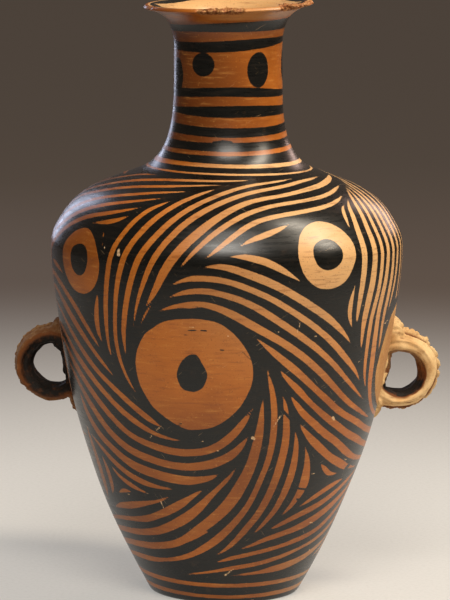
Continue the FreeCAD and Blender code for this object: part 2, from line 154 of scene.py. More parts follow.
# The strokes that fall from above the large disc to the right
FALLING = (
    ((0.7, 231.7, 0), (5, 231.7, 3.2), (10, 230, 4.4), (15, 226.4, 4.4), (20, 220.7, 3), (24.2, 215.8, 0)),
    ((-7.4, 224.7, 0), (-5, 226, 2), (0, 225.6, 4), (5, 222.5, 4.4), (10, 218.9, 4.8), (15, 215, 4.8),
     (20, 210, 4.4), (25, 204.4, 4.6), (30, 198.8, 4.6), (35, 192.8, 4.3), (40, 186.2, 3.8), (45, 178.5, 2),
     (47, 174.6, 0)),
    ((-18.3, 213.2, 0), (-13.3, 217.6, 2.6), (-10, 218.5, 3.5), (-5, 218.5, 3.5), (0, 217.2, 3.5),
     (5, 214.1, 3.5), (10, 210.1, 3.5), (15, 205.8, 3.5), (20, 200, 3.6), (25, 194.1, 3.6), (30, 188, 3.7),
     (35, 181.4, 3.8), (40, 174.2, 4), (45, 166, 4.2), (50, 158.9, 3), (53, 153.5, 1.8), (54.8, 149.8, 0)),
    ((-18.9, 206, 0), (-15, 209.2, 2.5), (-10, 211, 3.5), (-5, 211, 3.5), (0, 208.3, 3.7), (5, 205.6, 3.8),
     (10, 200.8, 4), (15, 195, 4.2), (20, 188.8, 3.9), (25, 182.8, 4.1), (30, 176.5, 3.9), (35, 169.7, 3.6),
     (40, 162.7, 3.5), (45, 154.9, 3.2), (50, 148.3, 2.5), (55, 141.6, 1.8), (60.3, 136.1, 0)),
    ((-22.5, 197.3, 0), (-20, 199.2, 1.6), (-15, 201.8, 2.8), (-10, 203.7, 2.6), (-5, 202.2, 4),
     (0, 199, 4.3), (5, 194, 5), (10, 188.5, 4.8), (15, 183.5, 4.6), (20, 178.1, 4.4), (25, 172, 4.4),
     (30, 165.2, 4.3), (35, 157.8, 4.2), (40, 150.3, 4.1), (45, 143.2, 3.5), (50, 137, 3.5), (55, 132.6, 3),
     (60, 128.6, 2.3), (65, 125, 2), (70.1, 122, 0)),
    ((-15, 200.4, 0.8), (-10, 201, 1), (-7.9, 201, 0)),
    ((10.1, 182.1, 0), (12, 179.3, 1.6), (15, 174.6, 3.6), (20, 167.5, 4.4), (25, 160.4, 4.8),
     (30, 152.9, 3.6), (35, 145.6, 3.9), (40, 139.2, 4.2), (45, 132.8, 4), (50, 128.6, 3.8), (55, 125, 4),
     (60, 121.5, 4), (65, 117.8, 4), (70, 114.8, 3.8), (75, 112.8, 3.8), (84, 109.6, 4.2), (96, 107.5, 4),
     (108, 108.5, 0)),
    ((18.8, 161.8, 0), (20, 159, 2), (22.5, 154.7, 3), (25, 150.7, 4.2), (28, 145.8, 3.8), (30, 142.1, 3.2),
     (35, 135.2, 3.5), (40, 129, 4.2), (45, 124.2, 4.4), (50, 119.3, 4.4), (55, 115, 4.6), (60, 112, 4.8),
     (65, 108.9, 4.2), (70, 105.6, 3.8), (80, 101.9, 3.5), (92, 98, 3.5), (108, 97, 0)),
    ((23.3, 145.6, 0), (25, 141.6, 2.2), (28, 135.6, 4.2), (30, 132.1, 4.1), (35, 125.7, 4.5),
     (40, 119.3, 4.8), (45, 114.6, 4.6), (50, 110, 4.3), (55, 104.7, 5), (60, 100.8, 4.3), (65, 97.7, 3.6),
     (70, 95.9, 3), (80, 93.2, 2.6), (92, 90.5, 2), (98, 90, 0)),
    ((28.3, 127, 0), (30, 123.3, 2.5), (35, 115.2, 4.8), (40, 109.2, 5.2), (45, 103.4, 4.4),
     (50, 99.2, 5.3), (55, 95.9, 5.2), (60, 92.6, 4.8), (62.5, 91.8, 3), (65.5, 91, 2), (70, 89.5, 1.3),
     (77, 88.6, 0)),
    ((42.4, 98.3, 0), (45, 94.8, 3.6), (48, 91.3, 3.6), (50, 89.8, 2.6), (55.4, 89.2, 0)),
)

# The strokes that fall from the left shoulder and pass beneath the large disc
PASSING_BELOW = (
    ((-88.5, 208.5, 0), (-84, 209.2, 3), (-80, 208.8, 4), (-75, 207.3, 3.8), (-70, 203.3, 4.1),
     (-65, 198, 3.8), (-60, 192, 4.7), (-55, 183.2, 3.3), (-50, 175, 2.7), (-47.8, 170.2, 0)),
    ((-89, 200, 0), (-80, 201, 3), (-75, 197.8, 3.5), (-70, 192.5, 4.8), (-65, 186.1, 5.1),
     (-60, 180.1, 4.7), (-55, 173.1, 3.3), (-50, 165.5, 3.2), (-45, 157.8, 2.2), (-42.7, 154.2, 0)),
    ((-86, 191, 0), (-80, 189.6, 2.8), (-75, 185.9, 2.8), (-70, 180.8, 3), (-65, 174.4, 3.4),
     (-60, 168, 3.7), (-55, 160.7, 4), (-50, 154, 3.4), (-45, 148.3, 3.4), (-40, 142.3, 3.8),
     (-35, 135.9, 3.6), (-30, 130.6, 4.4), (-27, 127.2, 2.6), (-24.2, 124.9, 0)),
    ((-85, 179, 0), (-80, 178, 2.4), (-75, 175.3, 2.8), (-70, 170, 3.3), (-65, 163.3, 4), (-60, 157.1, 4.7),
     (-55, 150.3, 4.4), (-50, 143.4, 4), (-45, 137, 3.7), (-40, 131, 4.2), (-35, 126.2, 3.7),
     (-30, 121.9, 3.2), (-25, 118.8, 1.9), (-20, 117.3, 1.7), (-15.9, 116.6, 0)),
    ((-84, 171, 2), (-80, 169.3, 3), (-75, 167.1, 3), (-70, 160, 3.7), (-65, 153.4, 5.4), (-60, 145.4, 4.4),
     (-55, 137.9, 5), (-50, 130.4, 4.5), (-45, 123.9, 4.2), (-40, 118.1, 3.7), (-35, 114.8, 3.9),
     (-30, 112.5, 4), (-25, 110.5, 4.8), (-20, 109.2, 4.8), (-15, 109, 4.7), (-10, 109.8, 4.5),
     (-5, 112, 4.7), (0, 116.6, 5.5), (5, 125.7, 4.6), (7.4, 132.1, 3.4), (9.9, 139.2, 0)),
    ((-74, 156.5, 0), (-70, 150.7, 3.6), (-65, 141.6, 3.9), (-60, 132.1, 5.2), (-55, 123.6, 5),
     (-50, 116.2, 5), (-45, 111, 4.7), (-40, 106.9, 5.2), (-35, 104.5, 5), (-30, 102.5, 4.8),
     (-25, 100.7, 4.8), (-20, 99.7, 4.7), (-15, 99.6, 4.9), (-10, 100.5, 5.2), (-5, 102.2, 5.8),
     (0, 105.8, 5.6), (3, 109, 5.2), (5, 112.5, 4.3), (6.8, 116, 3), (8.5, 120.6, 0)),
    ((-67.2, 137.5, 0), (-66.4, 131, 4.4), (-64.4, 124, 5), (-60, 115.4, 5), (-55, 109.6, 4.8),
     (-50, 105, 4.7), (-45, 100.5, 5), (-40, 96.8, 6), (-35, 94.8, 6), (-30, 93, 6.1), (-20, 90.4, 6.2),
     (-15, 90.2, 5.8), (-10, 91.2, 4.4), (-5, 93.2, 3), (-2.4, 95.7, 0)),
    ((-66.6, 111.6, 0), (-65, 109.4, 1.8), (-60, 105.2, 2.4), (-55, 99.4, 4.1), (-50, 94.8, 3.9),
     (-45, 90.6, 3.8), (-40, 87.7, 4.2), (-35, 85.3, 3.9), (-30, 84.2, 2.6), (-25, 83.6, 1.3),
     (-21.4, 83.9, 0)),
    ((-55.1, 93.5, 0), (-53, 89.7, 1.9), (-50, 86.6, 2.7), (-45, 82.6, 3.7), (-40, 80.5, 2.2),
     (-35.1, 78.4, 0)),
    ((-61, 98.4, 0), (-59.6, 93.8, 3), (-59.1, 89.9, 3.9), (-58.9, 84.6, 4.4), (-59.2, 80, 4),
     (-60.1, 75.8, 3.4), (-62.4, 72, 0)),
    ((-69, 116, 0), (-68.7, 110, 3.6), (-67.6, 100, 5.2), (-66.8, 89.9, 5.8), (-67.2, 80, 6),
     (-68.1, 74, 4.8), (-71, 67, 0)),
    ((-55.4, 74.4, 0), (-53, 76.4, 2), (-50, 77.8, 2.9), (-47, 77.8, 1.6), (-45.2, 77.7, 0)),
)

# The strokes that start below and right of the large disc and curve down to the left
CURVING_DOWN = (
    ((-65.7, 62, 0), (-60, 64.5, 2.9), (-55, 66.2, 4.5), (-50, 67.2, 4.7), (-45, 68.9, 4.5),
     (-40, 70.7, 3.8), (-35, 72.4, 2.3), (-30, 74.4, 1.8), (-26.5, 77, 1.6), (-24.8, 78.2, 0)),
    ((-92, 47.4, 2.6), (-84, 50.5, 2.6), (-76, 52.8, 2.6), (-70, 54, 2.4), (-65, 55.4, 2.7), (-60, 56.1, 3),
     (-55, 57, 3.1), (-50, 57.7, 3.3), (-45, 58.7, 4), (-40, 60, 4.6), (-35, 62.5, 4.3), (-30, 65.6, 4.8),
     (-25, 69.3, 5.4), (-20, 73.2, 5.4), (-15, 78.6, 3.2), (-11, 83, 1.4), (-8.8, 84.8, 0)),
    ((-116, 28, 0), (-108, 31.5, 3), (-100, 36, 3.2), (-90, 41, 3.4), (-80, 44.5, 3.6), (-70, 46.4, 3.8),
     (-60, 47.4, 4.3), (-50, 48.3, 4.3), (-40, 50.5, 4.9), (-35, 52.3, 5), (-30, 55, 5.6), (-25, 58.2, 5.8),
     (-20, 62.3, 6.6), (-15, 67.2, 6), (-10, 74, 5), (-5, 82.4, 3.2), (0, 90.1, 2.7), (3, 96, 1.7),
     (4.5, 100.6, 0)),
    ((-108, 26, 0), (-100, 29, 3), (-90, 32.5, 3.4), (-80, 35.5, 4), (-70, 37.2, 4.2), (-60, 38.6, 4.4),
     (-50, 39, 4.9), (-40, 40.4, 4.8), (-30, 42.8, 4.8), (-25, 45, 5), (-20, 48.7, 5), (-15, 53.2, 6),
     (-10, 58.8, 6.4), (-5, 64.2, 6.8), (0, 71.5, 7.4), (4.2, 80, 7.7), (7.4, 89.9, 7.3), (10.2, 100, 6.2),
     (11.5, 110, 6), (12.5, 120, 5.4), (13, 130, 3.8), (13.05, 140, 1.7), (13.1, 145.4, 0)),
    ((-7.6, 55.2, 0), (-10, 54.2, 2.2), (-15, 50.6, 3), (-20, 47.2, 3), (-26, 43.8, 2.6)),
    ((-100, 23.5, 0), (-90, 26, 2.4), (-80, 27.6, 3), (-70, 28.6, 3.2), (-60, 29.1, 4), (-50, 29.1, 3.9),
     (-45, 29.3, 3.5), (-40, 30, 3.1), (-35, 31, 2.5), (-28, 32.5, 2.8), (-20, 35.9, 3.4), (-15, 39, 3.8),
     (-10, 43.2, 4.7), (-5, 47.6, 5.3), (0, 54.1, 5), (5, 62, 4.4), (9.1, 70, 3.7), (12.4, 80, 3.7),
     (14.4, 89.9, 3.4), (16.5, 100, 3.6), (17.8, 110, 3.9), (18.1, 120, 4), (18, 130, 3.8),
     (17.4, 140, 3.8), (16.3, 149.8, 3.4), (14.9, 157.4, 1.6), (14, 163.5, 0)),
    ((-4.9, 37.3, 0), (0, 41, 1.9), (5, 47, 3.3), (10, 56.2, 4.2), (13.5, 63, 4.3), (16.7, 70, 4.3),
     (19.2, 80, 5), (21.2, 89.9, 4.8), (22.4, 100, 5.2), (23.2, 110, 4.9), (23.4, 120, 4.7),
     (22.5, 130, 4.1), (21.8, 140, 2.4), (20.2, 146, 0)),
    ((14.2, 53.2, 0), (17, 56.5, 2.2), (21.1, 64.4, 3.3), (23.8, 70, 3.8), (26.3, 80, 4.6), (27.9, 90, 5.1),
     (28.6, 100, 4.7), (28.4, 110, 3.7), (27.8, 117, 2.2), (26.4, 123.8, 0)),
    ((27, 64.4, 0), (29.8, 68.9, 2.3), (31.9, 72.5, 3.2), (34.2, 79, 5), (35.4, 84, 6.6), (35.7, 90, 6.7),
     (35, 100, 4.2), (34, 105.4, 2.5), (32.3, 111.4, 0)),
)

# The strokes that fan out at the lower right
LOWER_FAN = (
    ((35.2, 69.6, 0), (38, 71.4, 1.4), (42, 74.2, 3), (45, 76.4, 3.7), (50, 79.5, 3.7), (55, 81.7, 4),
     (60, 83.5, 1.5), (63.4, 83.9, 0)),
    ((22.5, 55.8, 0), (25, 57, 1.6), (28, 58.8, 3.4), (35, 63.1, 3.7), (40, 65.4, 4.4), (45, 67.6, 4.6),
     (50, 70, 4.2), (55, 73.1, 4.1), (60, 75.8, 4), (65, 79.3, 3.4), (70, 81.9, 3.2), (75, 84.3, 2.4),
     (80, 86.5, 0)),
    ((8.2, 42, 0), (10, 42.9, 1.1), (15, 44.7, 2.3), (20, 48.1, 3), (25, 49.7, 4), (30, 51.6, 3.9),
     (35, 53.2, 4.3), (40, 55.2, 5.2), (45, 57.4, 5.7), (50, 60.3, 5.7), (55, 63.1, 5.8), (60, 66.2, 5.5),
     (65, 69.5, 4.4), (70, 72.2, 4.2), (77, 76, 3.9), (84, 79.5, 3.7), (91, 83, 2.8), (97, 86, 0)),
    ((-4.9, 31.9, 0), (0, 33.9, 2.1), (5, 35.8, 3.1), (10, 36.9, 2.7), (15, 38.3, 3), (20, 39.4, 3.1),
     (28, 41.5, 2.8), (35, 43.3, 3), (40, 45.1, 3.7), (45, 46.5, 4), (50, 48.3, 3.6), (55, 50.5, 3.8),
     (60, 53.8, 4.2), (65, 58, 4), (70, 62.2, 4.2), (77, 67.8, 4), (84, 72, 3.6), (92, 76, 3), (99, 80, 0)),
    ((-22.3, 21.9, 0), (-20, 22.3, 1.4), (-10, 24.1, 1.6), (0, 26.6, 2.4), (5, 27.8, 3), (15, 29.5, 2.9),
     (25, 31.5, 3.1), (35, 34.5, 3.2), (40, 36.3, 2.7), (45, 38, 2.5), (50, 39.7, 2.5), (55, 41.5, 3),
     (60, 43.9, 3.4), (65, 46.5, 3.7), (72, 50.8, 3.7), (80, 56, 3.5), (90, 61.5, 3.1), (104, 66, 0)),
    ((4.2, 21.9, 0), (10, 22.4, 1.4), (20, 23.3, 2.3), (25, 24, 3.4), (30, 25, 4.9), (35, 25.6, 5.3),
     (40, 26.6, 5.2), (45, 27.8, 5.3), (50, 29.3, 4.5), (55, 31, 5), (60, 33.2, 4.7), (65, 35.5, 4),
     (72, 38.8, 3.4), (80, 43, 3), (88, 47.4, 2.6), (92, 49, 2.6)),
)

# The upright strokes right of the right disc, which turn over the shoulder towards the lug
UPRIGHT = (
    ((45.8, 211.6, 0), (45.2, 206, 1.8), (44.6, 200, 4), (44.7, 194, 3.6), (45.3, 190, 3),
     (46.9, 183.9, 0)),
    ((54, 263, 0), (51.6, 261.4, 1.4), (50, 259.2, 2.4), (48.6, 255.2, 3), (47.6, 250.8, 2.4),
     (47.2, 245.2, 0)),
    ((60, 267, 0), (55.4, 261.4, 2.2), (53.6, 257, 3.2), (51, 246.3, 4.6), (50.1, 236, 5.2),
     (49.8, 217, 5.2), (49.2, 204, 4.6), (48.9, 195, 3.2), (49, 190, 2.4), (48.9, 186.2, 0)),
    ((71.9, 276, 0), (66.3, 271, 2), (61.3, 263, 2.8), (58.4, 253.4, 3.8), (56.6, 243, 4.6), (56, 232, 5.4),
     (55.6, 217, 6), (54.6, 205, 6.2), (53.6, 195, 6), (53.1, 188, 5.2), (53, 180, 3.5), (53.1, 173, 2),
     (53.3, 169.6, 0)),
    ((75, 279, 0), (69.3, 270.2, 1.9), (64, 257.8, 3), (61.6, 245.5, 3.8), (60.7, 230, 4), (60.2, 212, 4),
     (59, 200, 4.4), (57.5, 190, 4.1), (57.1, 180, 4.3), (57, 170, 3.9), (57.1, 160, 3.5), (57.9, 150, 2.7),
     (60.2, 143.9, 0)),
    ((79.6, 280.8, 0), (75.2, 273.7, 1.7), (69.9, 260.5, 2.8), (66.9, 248, 3.7), (65.3, 232, 4.4),
     (64.6, 215, 4.8), (63.4, 205, 5.2), (62.1, 195, 5.2), (61.8, 185, 5.2), (62, 170, 6.1),
     (62.3, 160, 6.3), (62.6, 150, 6), (63.5, 143.8, 5), (64.9, 138.6, 4.2), (67.2, 132.6, 3.6),
     (70.1, 128.6, 3.1), (75.2, 123.8, 2.6), (84, 120.2, 2.6), (92, 118.5, 2.4), (99, 119, 0)),
    ((91, 285, 0), (84, 280, 1.6), (79.6, 273.7, 2.1), (74, 260.5, 3), (71, 246.3, 3.8), (69.8, 228, 4.2),
     (69.2, 213, 4.4), (68, 200, 5), (66.6, 190, 4.1), (66.3, 180, 3.6), (66.5, 171, 3), (66.3, 164.5, 0)),
    ((96, 286, 2.2), (90, 280, 2.4), (84, 272, 2.6), (78.7, 257, 3.2), (75.5, 240, 4), (74, 217, 4.2),
     (72.6, 204, 3.4), (71, 195, 2.6), (70, 188.4, 0)),
    ((96, 271, 3.2), (90, 265.4, 3.2), (84, 255, 3.4), (81, 242, 4), (79.8, 228, 4.2), (79.2, 212, 3.8),
     (78.4, 196, 3)),
    ((96, 261.4, 3.6), (89.5, 249, 3.6), (86, 234, 4), (84.7, 216, 4.2), (84.3, 196, 3.4)),
    ((99, 248, 3.8), (95, 240, 4), (91.4, 226, 4.2), (90, 212, 4), (89.8, 195, 3.6)),
    ((99, 235.7, 4), (96.6, 228, 4), (95, 214, 3.8), (95, 203, 3.2), (95.6, 195, 2.6)),
)

# Reserved discs: outline, then the outline of the black dot within, as azimuth and height along the wall
LARGE_DISC = (
    ((-12, 193.8), (-5, 192.9), (0, 189), (5, 179.9), (8.3, 169.7), (9.3, 160), (8.5, 151.6), (5, 139.6),
     (0, 131.2), (-5, 126.4), (-11, 124.6), (-15, 125), (-20, 129), (-25, 134.8), (-28, 140.3),
     (-31.2, 151), (-32.2, 163), (-31, 172.8), (-28, 182), (-25, 186.5), (-20, 191.6)),
    ((-11.5, 172.1), (-9.6, 171.4), (-8, 166.6), (-6.3, 160.4), (-6.7, 156), (-8, 151.6), (-10, 149.2),
     (-12.4, 148.8), (-15, 150.3), (-16.5, 154.7), (-16.9, 159.4), (-16.1, 164), (-15, 167.5),
     (-13.3, 170.6)),
)
LEFT_DISC = (
    ((-56.4, 242.4), (-52, 240.4), (-47.6, 233.6), (-45, 223.4), (-46, 213), (-49.4, 205.4), (-54.6, 202),
     (-60.4, 203.6), (-65, 210.6), (-67, 220.4), (-65.8, 230.6), (-61.6, 239)),
    ((-55.4, 232.2), (-52.2, 230.8), (-50.7, 226), (-51.4, 219), (-53.8, 213.8), (-57.4, 213.2),
     (-60.2, 217), (-60.9, 223.6), (-59.4, 229.6)),
)
RIGHT_DISC = (
    ((34, 252.5), (38.8, 250.6), (43.4, 244.6), (45.8, 235), (45, 224.6), (41.6, 214.8), (36.8, 210.5),
     (30.4, 211.6), (25.4, 219.4), (23.4, 231), (25, 242.6), (28.8, 249.8)),
    ((34, 240.6), (37.6, 238.6), (39.9, 233), (39.5, 227), (36.9, 222.6), (33.2, 221.6), (30, 225),
     (28.7, 231), (29.8, 237.2)),
)

# Reserved rings round the foot and the neck: lower edge, then upper edge. Each edge is drawn by hand, so it
# has a height along the wall at the left, at the front and at the right, and wavers by so much, in mm.
RING_WAVER = 0.2
RINGS = (
    ((5.2, 3.4, 4.6), (8.4, 6.4, 7.8)),
    ((14.2, 12.3, 14.0), (17.4, 15.6, 16.6)),
    ((303.9, 304.0, 301.2), (305.5, 305.6, 302.8)),
    ((310.4, 310.0, 309.2), (313.5, 312.9, 311.6)),
    ((319.0, 318.2, 319.8), (321.2, 321.2, 322.0)),
    ((326.9, 326.4, 327.7), (330.6, 329.8, 330.8)),
    ((337.1, 335.3, 336.4), (342.7, 341.6, 341.8)),
    ((345.5, 348.9, 346.9), (352.2, 354.0, 352.7)),
    ((357.1, 359.8, 356.6), (380.9, 380.1, 383.6)),
    ((385.5, 387.0, 387.2), (391.8, 392.4, 391.4)),
    ((396.4, 398.5, 398.8), (425.0, 425.0, 425.0)),
)
# Black ovals on the wide ring of the neck: azimuth, height along the wall, width and height in mm
NECK_OVALS = (
    (-67, 365, 14, 22),
    (-27.4, 372.8, 15, 14),
    (32.8, 369.4, 15, 20.5),
    (88, 370, 14.5, 19),
    (139, 368, 15, 21),
    (191, 371.5, 14, 17),
    (243, 368.6, 15, 20),
)
# Bare clay left round the roots of the lugs: the painter's brush stopped short of them
BARE_RIGHT = (
    (67.5, 157), (70.1, 170), (72.2, 177.3), (75.2, 185.2), (80, 188.8), (86, 190.4), (91, 188.6),
    (97, 191), (103, 187.5), (108, 188), (112, 182.4), (115.4, 175), (115, 167), (117.6, 158), (116.2, 149),
    (112.6, 142), (112.8, 135.4), (107.5, 129), (102, 128.4), (97, 124.6), (90, 126.4), (85, 125.4),
    (80, 127.7), (75.2, 132.1), (72.2, 135.7), (69.3, 142), (67.6, 149),
)
BARE_LEFT = (
    (-79, 150), (-80.4, 160), (-81, 170), (-84.6, 179), (-87, 184.5), (-93, 185.4), (-99, 189.4),
    (-106, 186.2), (-111, 180), (-112.6, 171.4), (-115.6, 162), (-114, 152), (-114.4, 142), (-110, 133),
    (-104.6, 129.4), (-101, 122.6), (-94, 121.4), (-88, 123.4), (-84.6, 130), (-81, 134.4), (-79.8, 142),
)
# Dark gaps where the brush skipped or the surface was cut: azimuth and height of both ends, width in mm
BLACK_CUTS = (
    ((-13, 326.2), (-4, 326.8), 2.6),
    ((-5, 327.2), (3, 326.6), 2.2),
    ((20.6, 137), (23.6, 131.6), 1.6),
    ((32.6, 83.4), (37.6, 82), 1.3),
    ((33.4, 76), (36.4, 74.6), 1.2),
    ((8, 134.4), (9.2, 136.6), 1),
    ((14.1, 159.6), (15.4, 158.6), 0.7),
    ((5.4, 174.4), (8.2, 169.4), 0.6),
    ((61.6, 90.6), (64.4, 92.8), 3.2),
    ((-12.6, 186.6), (-9.8, 187), 0.9),
    ((-8.4, 187), (-6.4, 186.8), 0.8),
    ((-2, 175.4), (-0.8, 175.2), 1),
    ((-14, 183.6), (-11.8, 184.4), 0.6),
    ((-17.2, 127.6), (-16.2, 128), 1.1),
)
# Pale scratches and chips: azimuth and height of both ends, width in mm
PALE_MARKS = (
    ((20.2, 133.6), (17.6, 125.4), 1.1),
    ((10.2, 119.8), (11, 118.8), 2.2),
    ((24.8, 190.6), (23.8, 184.4), 1),
    ((17.2, 185.8), (17.6, 186.4), 1.1),
    ((30.8, 181.6), (31.4, 181.6), 1.2),
    ((42.6, 139.4), (43.2, 139.4), 1),
    ((43.2, 128.6), (44.2, 127), 2),
    ((-36.9, 229.4), (-37.1, 232.2), 2.6),
    ((-43.2, 232.2), (-43, 233), 1.4),
    ((-26.6, 122.4), (-24.2, 125.4), 1),
    ((0.6, 22.2), (5.4, 27), 1.2),
    ((-28.8, 118.6), (-29.8, 116.6), 1),
    ((-9.4, 116.4), (-7.6, 118), 0.8),
    ((-48.4, 75), (-46.6, 76), 1.1),
    ((-36.2, 78.8), (-34.6, 79), 1),
    ((-29.6, 74.4), (-28.8, 69.6), 0.9),
    ((51, 197.2), (51.8, 197.2), 1),
    ((52.6, 161.4), (54.4, 163), 1),
    ((68.4, 181.6), (72, 183.4), 1.1),
    ((-3, 111.2), (-2.2, 111.4), 0.7),
    ((0.6, 183.8), (1, 184.2), 0.9),
    ((-12, 188.6), (-10.4, 188.8), 0.7),
    ((46.8, 57), (48.6, 56.4), 1.2),
    ((56.6, 35), (58.4, 34.2), 1),
    ((38.6, 92), (40, 92.4), 1.1),
    ((57.4, 98), (59.6, 97.2), 1),
)

# The lip is chipped above a height and outside a radius, and the chips deepen between two radii, in mm
CHIPPED_ABOVE = 352
CHIPPED_OUTSIDE = 42
CHIPS_DEEPEN = (44, 50)
# Chips along the lip: azimuth, half width in degrees, depth in mm
LIP_CHIPS = (
    (-19, 4, 1.3),
    (-13, 5, 1.9),
    (-6, 5, 1.5),
    (1, 5, 2.0),
    (7, 4, 1.2),
    (41, 4, 2.4),
    (47, 5, 3.2),
    (54, 6, 2.6),
    (66, 9, 1.2),
    (80, 6, 1.8),
    (-70, 5, 0.9),
    (128, 8, 1.4),
    (-150, 6, 1.1),
    (172, 9, 0.9),
)

# The lugs, in mm: height and reach of a loop's middle. Both are set back from the sides, in degrees.
LUG_LEVEL = 134
LUG_REACH = 106.2
LUG_SET_BACK = 8
# The lowest and highest places of the wall that a lug's roots can reach, and the steps between
ROOTED_WALL = (70, 205, 3)
SIDES = ((1, "right"), (-1, "left"))
# The left lug was pressed on a little higher and its eye is wider. Both were squeezed flatter below.
LUG_RISES = {1: 0, -1: 2.6}
EYE_GROWTHS = {1: 0, -1: 1.2}
SQUEEZE = 0.9
# A strap's edges stand out past the lug's radius by its swell, and its middle by its bulge more
STRAP_SWELL = 1.8
STRAP_BULGE = 1.8
STRAP_THICKNESS = 9
STRAP_PRESSED_IN = 1.5
# The size of a strap's faces before it is wiped, in metres
STRAP_GRAIN = 0.75 * MM
# A ridge starts and ends so far outside the lug's radius. It is this wide to either side, bedded this deep,
# and was pressed this many times with a finger nail.
RIDGE_BASE = 1.6
RIDGE_TOPS = {1: 6.4, -1: 4.6}
RIDGE_HALF = 4.0
RIDGE_BED = 1.2
RIDGE_PRESSES = 20
RIDGE_PRESSED_IN = 1.0
# Swollen roots, and the clay smeared between them: rise above the loop's middle, how far the middle lies
# outside the wall, then half sizes outward, across and along the wall, which leans as it does over the span
ROOT_SPAN = 12
ROOTS = {
    1: ((22, 0.8, 9, 12, 12), (-19, 0.2, 4.6, 12.5, 11), (0, -0.4, 3.8, 12, 22)),
    -1: ((18, 0.6, 7, 12, 11), (-19, 0, 4.2, 12.5, 11), (0, -0.4, 3.6, 12, 22)),
}

# The sheet that a ring of the wall is unrolled on, in shares of its height: the outside's strips with a gap
# above each, the band of the inside, four narrow ones for the joint faces, and the margin all round
STRIPS_TOP = 0.8
STRIP_GAP = 0.006
INSIDE_BAND = (0.81, 0.15)
JOINT_BANDS = (0.974, 0.014, 0.008)
MARGIN = 0.004

# The photograph's camera: focal length and shift in pixels of a picture of this height, place in metres,
# dip and roll in radians. The sensor's height is in mm.
PHOTO_HEIGHT = 600
FOCAL_LENGTH = 4177.4
PHOTO_SHIFT = 1.46
CAMERA_PLACE = (0, -2.520, 0.5679)
CAMERA_DIP = 0.1531
CAMERA_ROLL = 0.0086
SENSOR = 24

# The floor's side, and how far from the jar it starts to darken and is dark, in metres
FLOOR_SIDE = 12
FLOOR_DARKENS = (0.25, 1.3)


def linear(colour):
    """An sRGB hex colour as linear red, green, blue and alpha."""
    parts = [int(colour[i : i + 2], 16) / 255 for i in (1, 3, 5)]
    return [c / 12.92 if c <= 0.04045 else ((c + 0.055) / 1.055) ** 2.4 for c in parts] + [1.0]


def rgba(colour):
    return list(colour) + [1.0]


def colour_property(name, description, colour):
    return bpy.props.FloatVectorProperty(
        name=name, description=description, default=linear(colour)[:3], subtype="COLOR", min=0, max=1
    )


def length_property(name, description, millimetres, **limits):
    return bpy.props.FloatProperty(
        name=name, description=description, default=millimetres * MM, unit="LENGTH", **limits
    )


def power_property(name, description, watts):
    return bpy.props.FloatProperty(name=name, description=description, default=watts, unit="POWER")


class JarSizes(bpy.types.PropertyGroup):
    """Sizes that a user would change."""

    columns: bpy.props.IntProperty(name="Columns", description="Faces round the wall", default=600, min=90)
    row: length_property("Row", "Height of a row of faces", 1.0, min=0.5 * MM)
    unevenness: length_property("Unevenness", "How far the hand-built wall strays", 0.45)
    lip_tilt: length_property("Lip tilt", "Rise of the lip's right edge", 1.7)
    lip_lift: length_property("Lip lift", "Rise of the whole lip above its nominal height", 1.0)
    lip_thinning: length_property("Lip thinning", "How much thinner the lip's edge is drawn", 1.3)
    lug_radius: length_property("Lug radius", "From the loop's middle to the strap's edge", 20.6)
    strap_width: length_property("Strap width", "Width of a lug's strap", 24)


class JarColours(bpy.types.PropertyGroup):
    """Colours of the clay and the paint."""

    clay: colour_property("Burnished clay", "Orange clay, slipped and burnished", "#b5661c")
    clay_dark: colour_property("Dark clay", "Where the kiln left the clay darker", "#8f4c12")
    # Also painted light: this colour pales the upper right of the wall and the inside of the lip, where the
    # light falls
    clay_pale: colour_property("Pale clay", "Where the kiln left the clay paler", "#e3ba82")
    # Also painted shade: this colour darkens the neck under the lip and the wall by the left lug
    clay_smoked_and_shaded: colour_property("Smoked clay", "Where smoke browned the clay", "#5c2c08")
    paint: colour_property("Black paint", "Mineral paint, burnished", "#0c0d0b")
    paint_worn: colour_property("Worn paint", "Where the paint is thin", "#33261a")
    bare: colour_property("Bare clay", "Buff clay that was never burnished", "#d4a973")
    chip: colour_property("Broken clay", "Fresh clay in chips and scratches", "#d6b287")
    floor: colour_property("Floor", "Pale floor under the jar", "#dddad4")
    backdrop: colour_property("Backdrop", "The floor far behind the jar", "#62564c")


class JarStudio(bpy.types.PropertyGroup):
    """The light."""

    key: power_property("Key light", "Power of the key light", 18.5)
    fill: power_property("Fill light", "Power of the front light", 25.0)
    rim: power_property("Rim light", "Power of the rear lights", 5.0)
    world: bpy.props.FloatProperty(name="World", description="Strength of the even light", default=0.16)
    floor_glow: bpy.props.FloatProperty(
        name="Floor evenness", description="Share of the floor's own colour that is seen", default=0.45
    )


def add_node(tree, kind, inputs=None, **settings):
    """Adds a node, sets what it is told and links or sets its inputs."""
    node = tree.nodes.new(kind)
    for name, value in settings.items():
        setattr(node, name, value)
    for name, value in (inputs or {}).items():
        if isinstance(value, bpy.types.NodeSocket):
            tree.links.new(value, node.inputs[name])
        else:
            node.inputs[name].default_value = value
    return node


def new_material(name):
    """A material with its shader, and the piece's own coordinates."""
    material = bpy.data.materials.new(name)
    material.use_nodes = True
    tree = material.node_tree
    tree.nodes.clear()
    shader = add_node(tree, "ShaderNodeBsdfPrincipled")
    where = add_node(tree, "ShaderNodeTexCoord").outputs["Object"]
    return material, tree, shader, where


def mottle(tree, where, size, stretch=(1, 1, 1), detail=3.0, roughness=0.5):
    """Soft spots of a real size, drawn out or not, from 0 to 1."""
    placed = add_node(tree, "ShaderNodeMapping", {"Vector": where, "Scale": stretch}).outputs[0]
    inputs = {"Vector": placed, "Scale": 1 / size, "Detail": detail, "Roughness": roughness}
    return add_node(tree, "ShaderNodeTexNoise", inputs).outputs["Fac"]


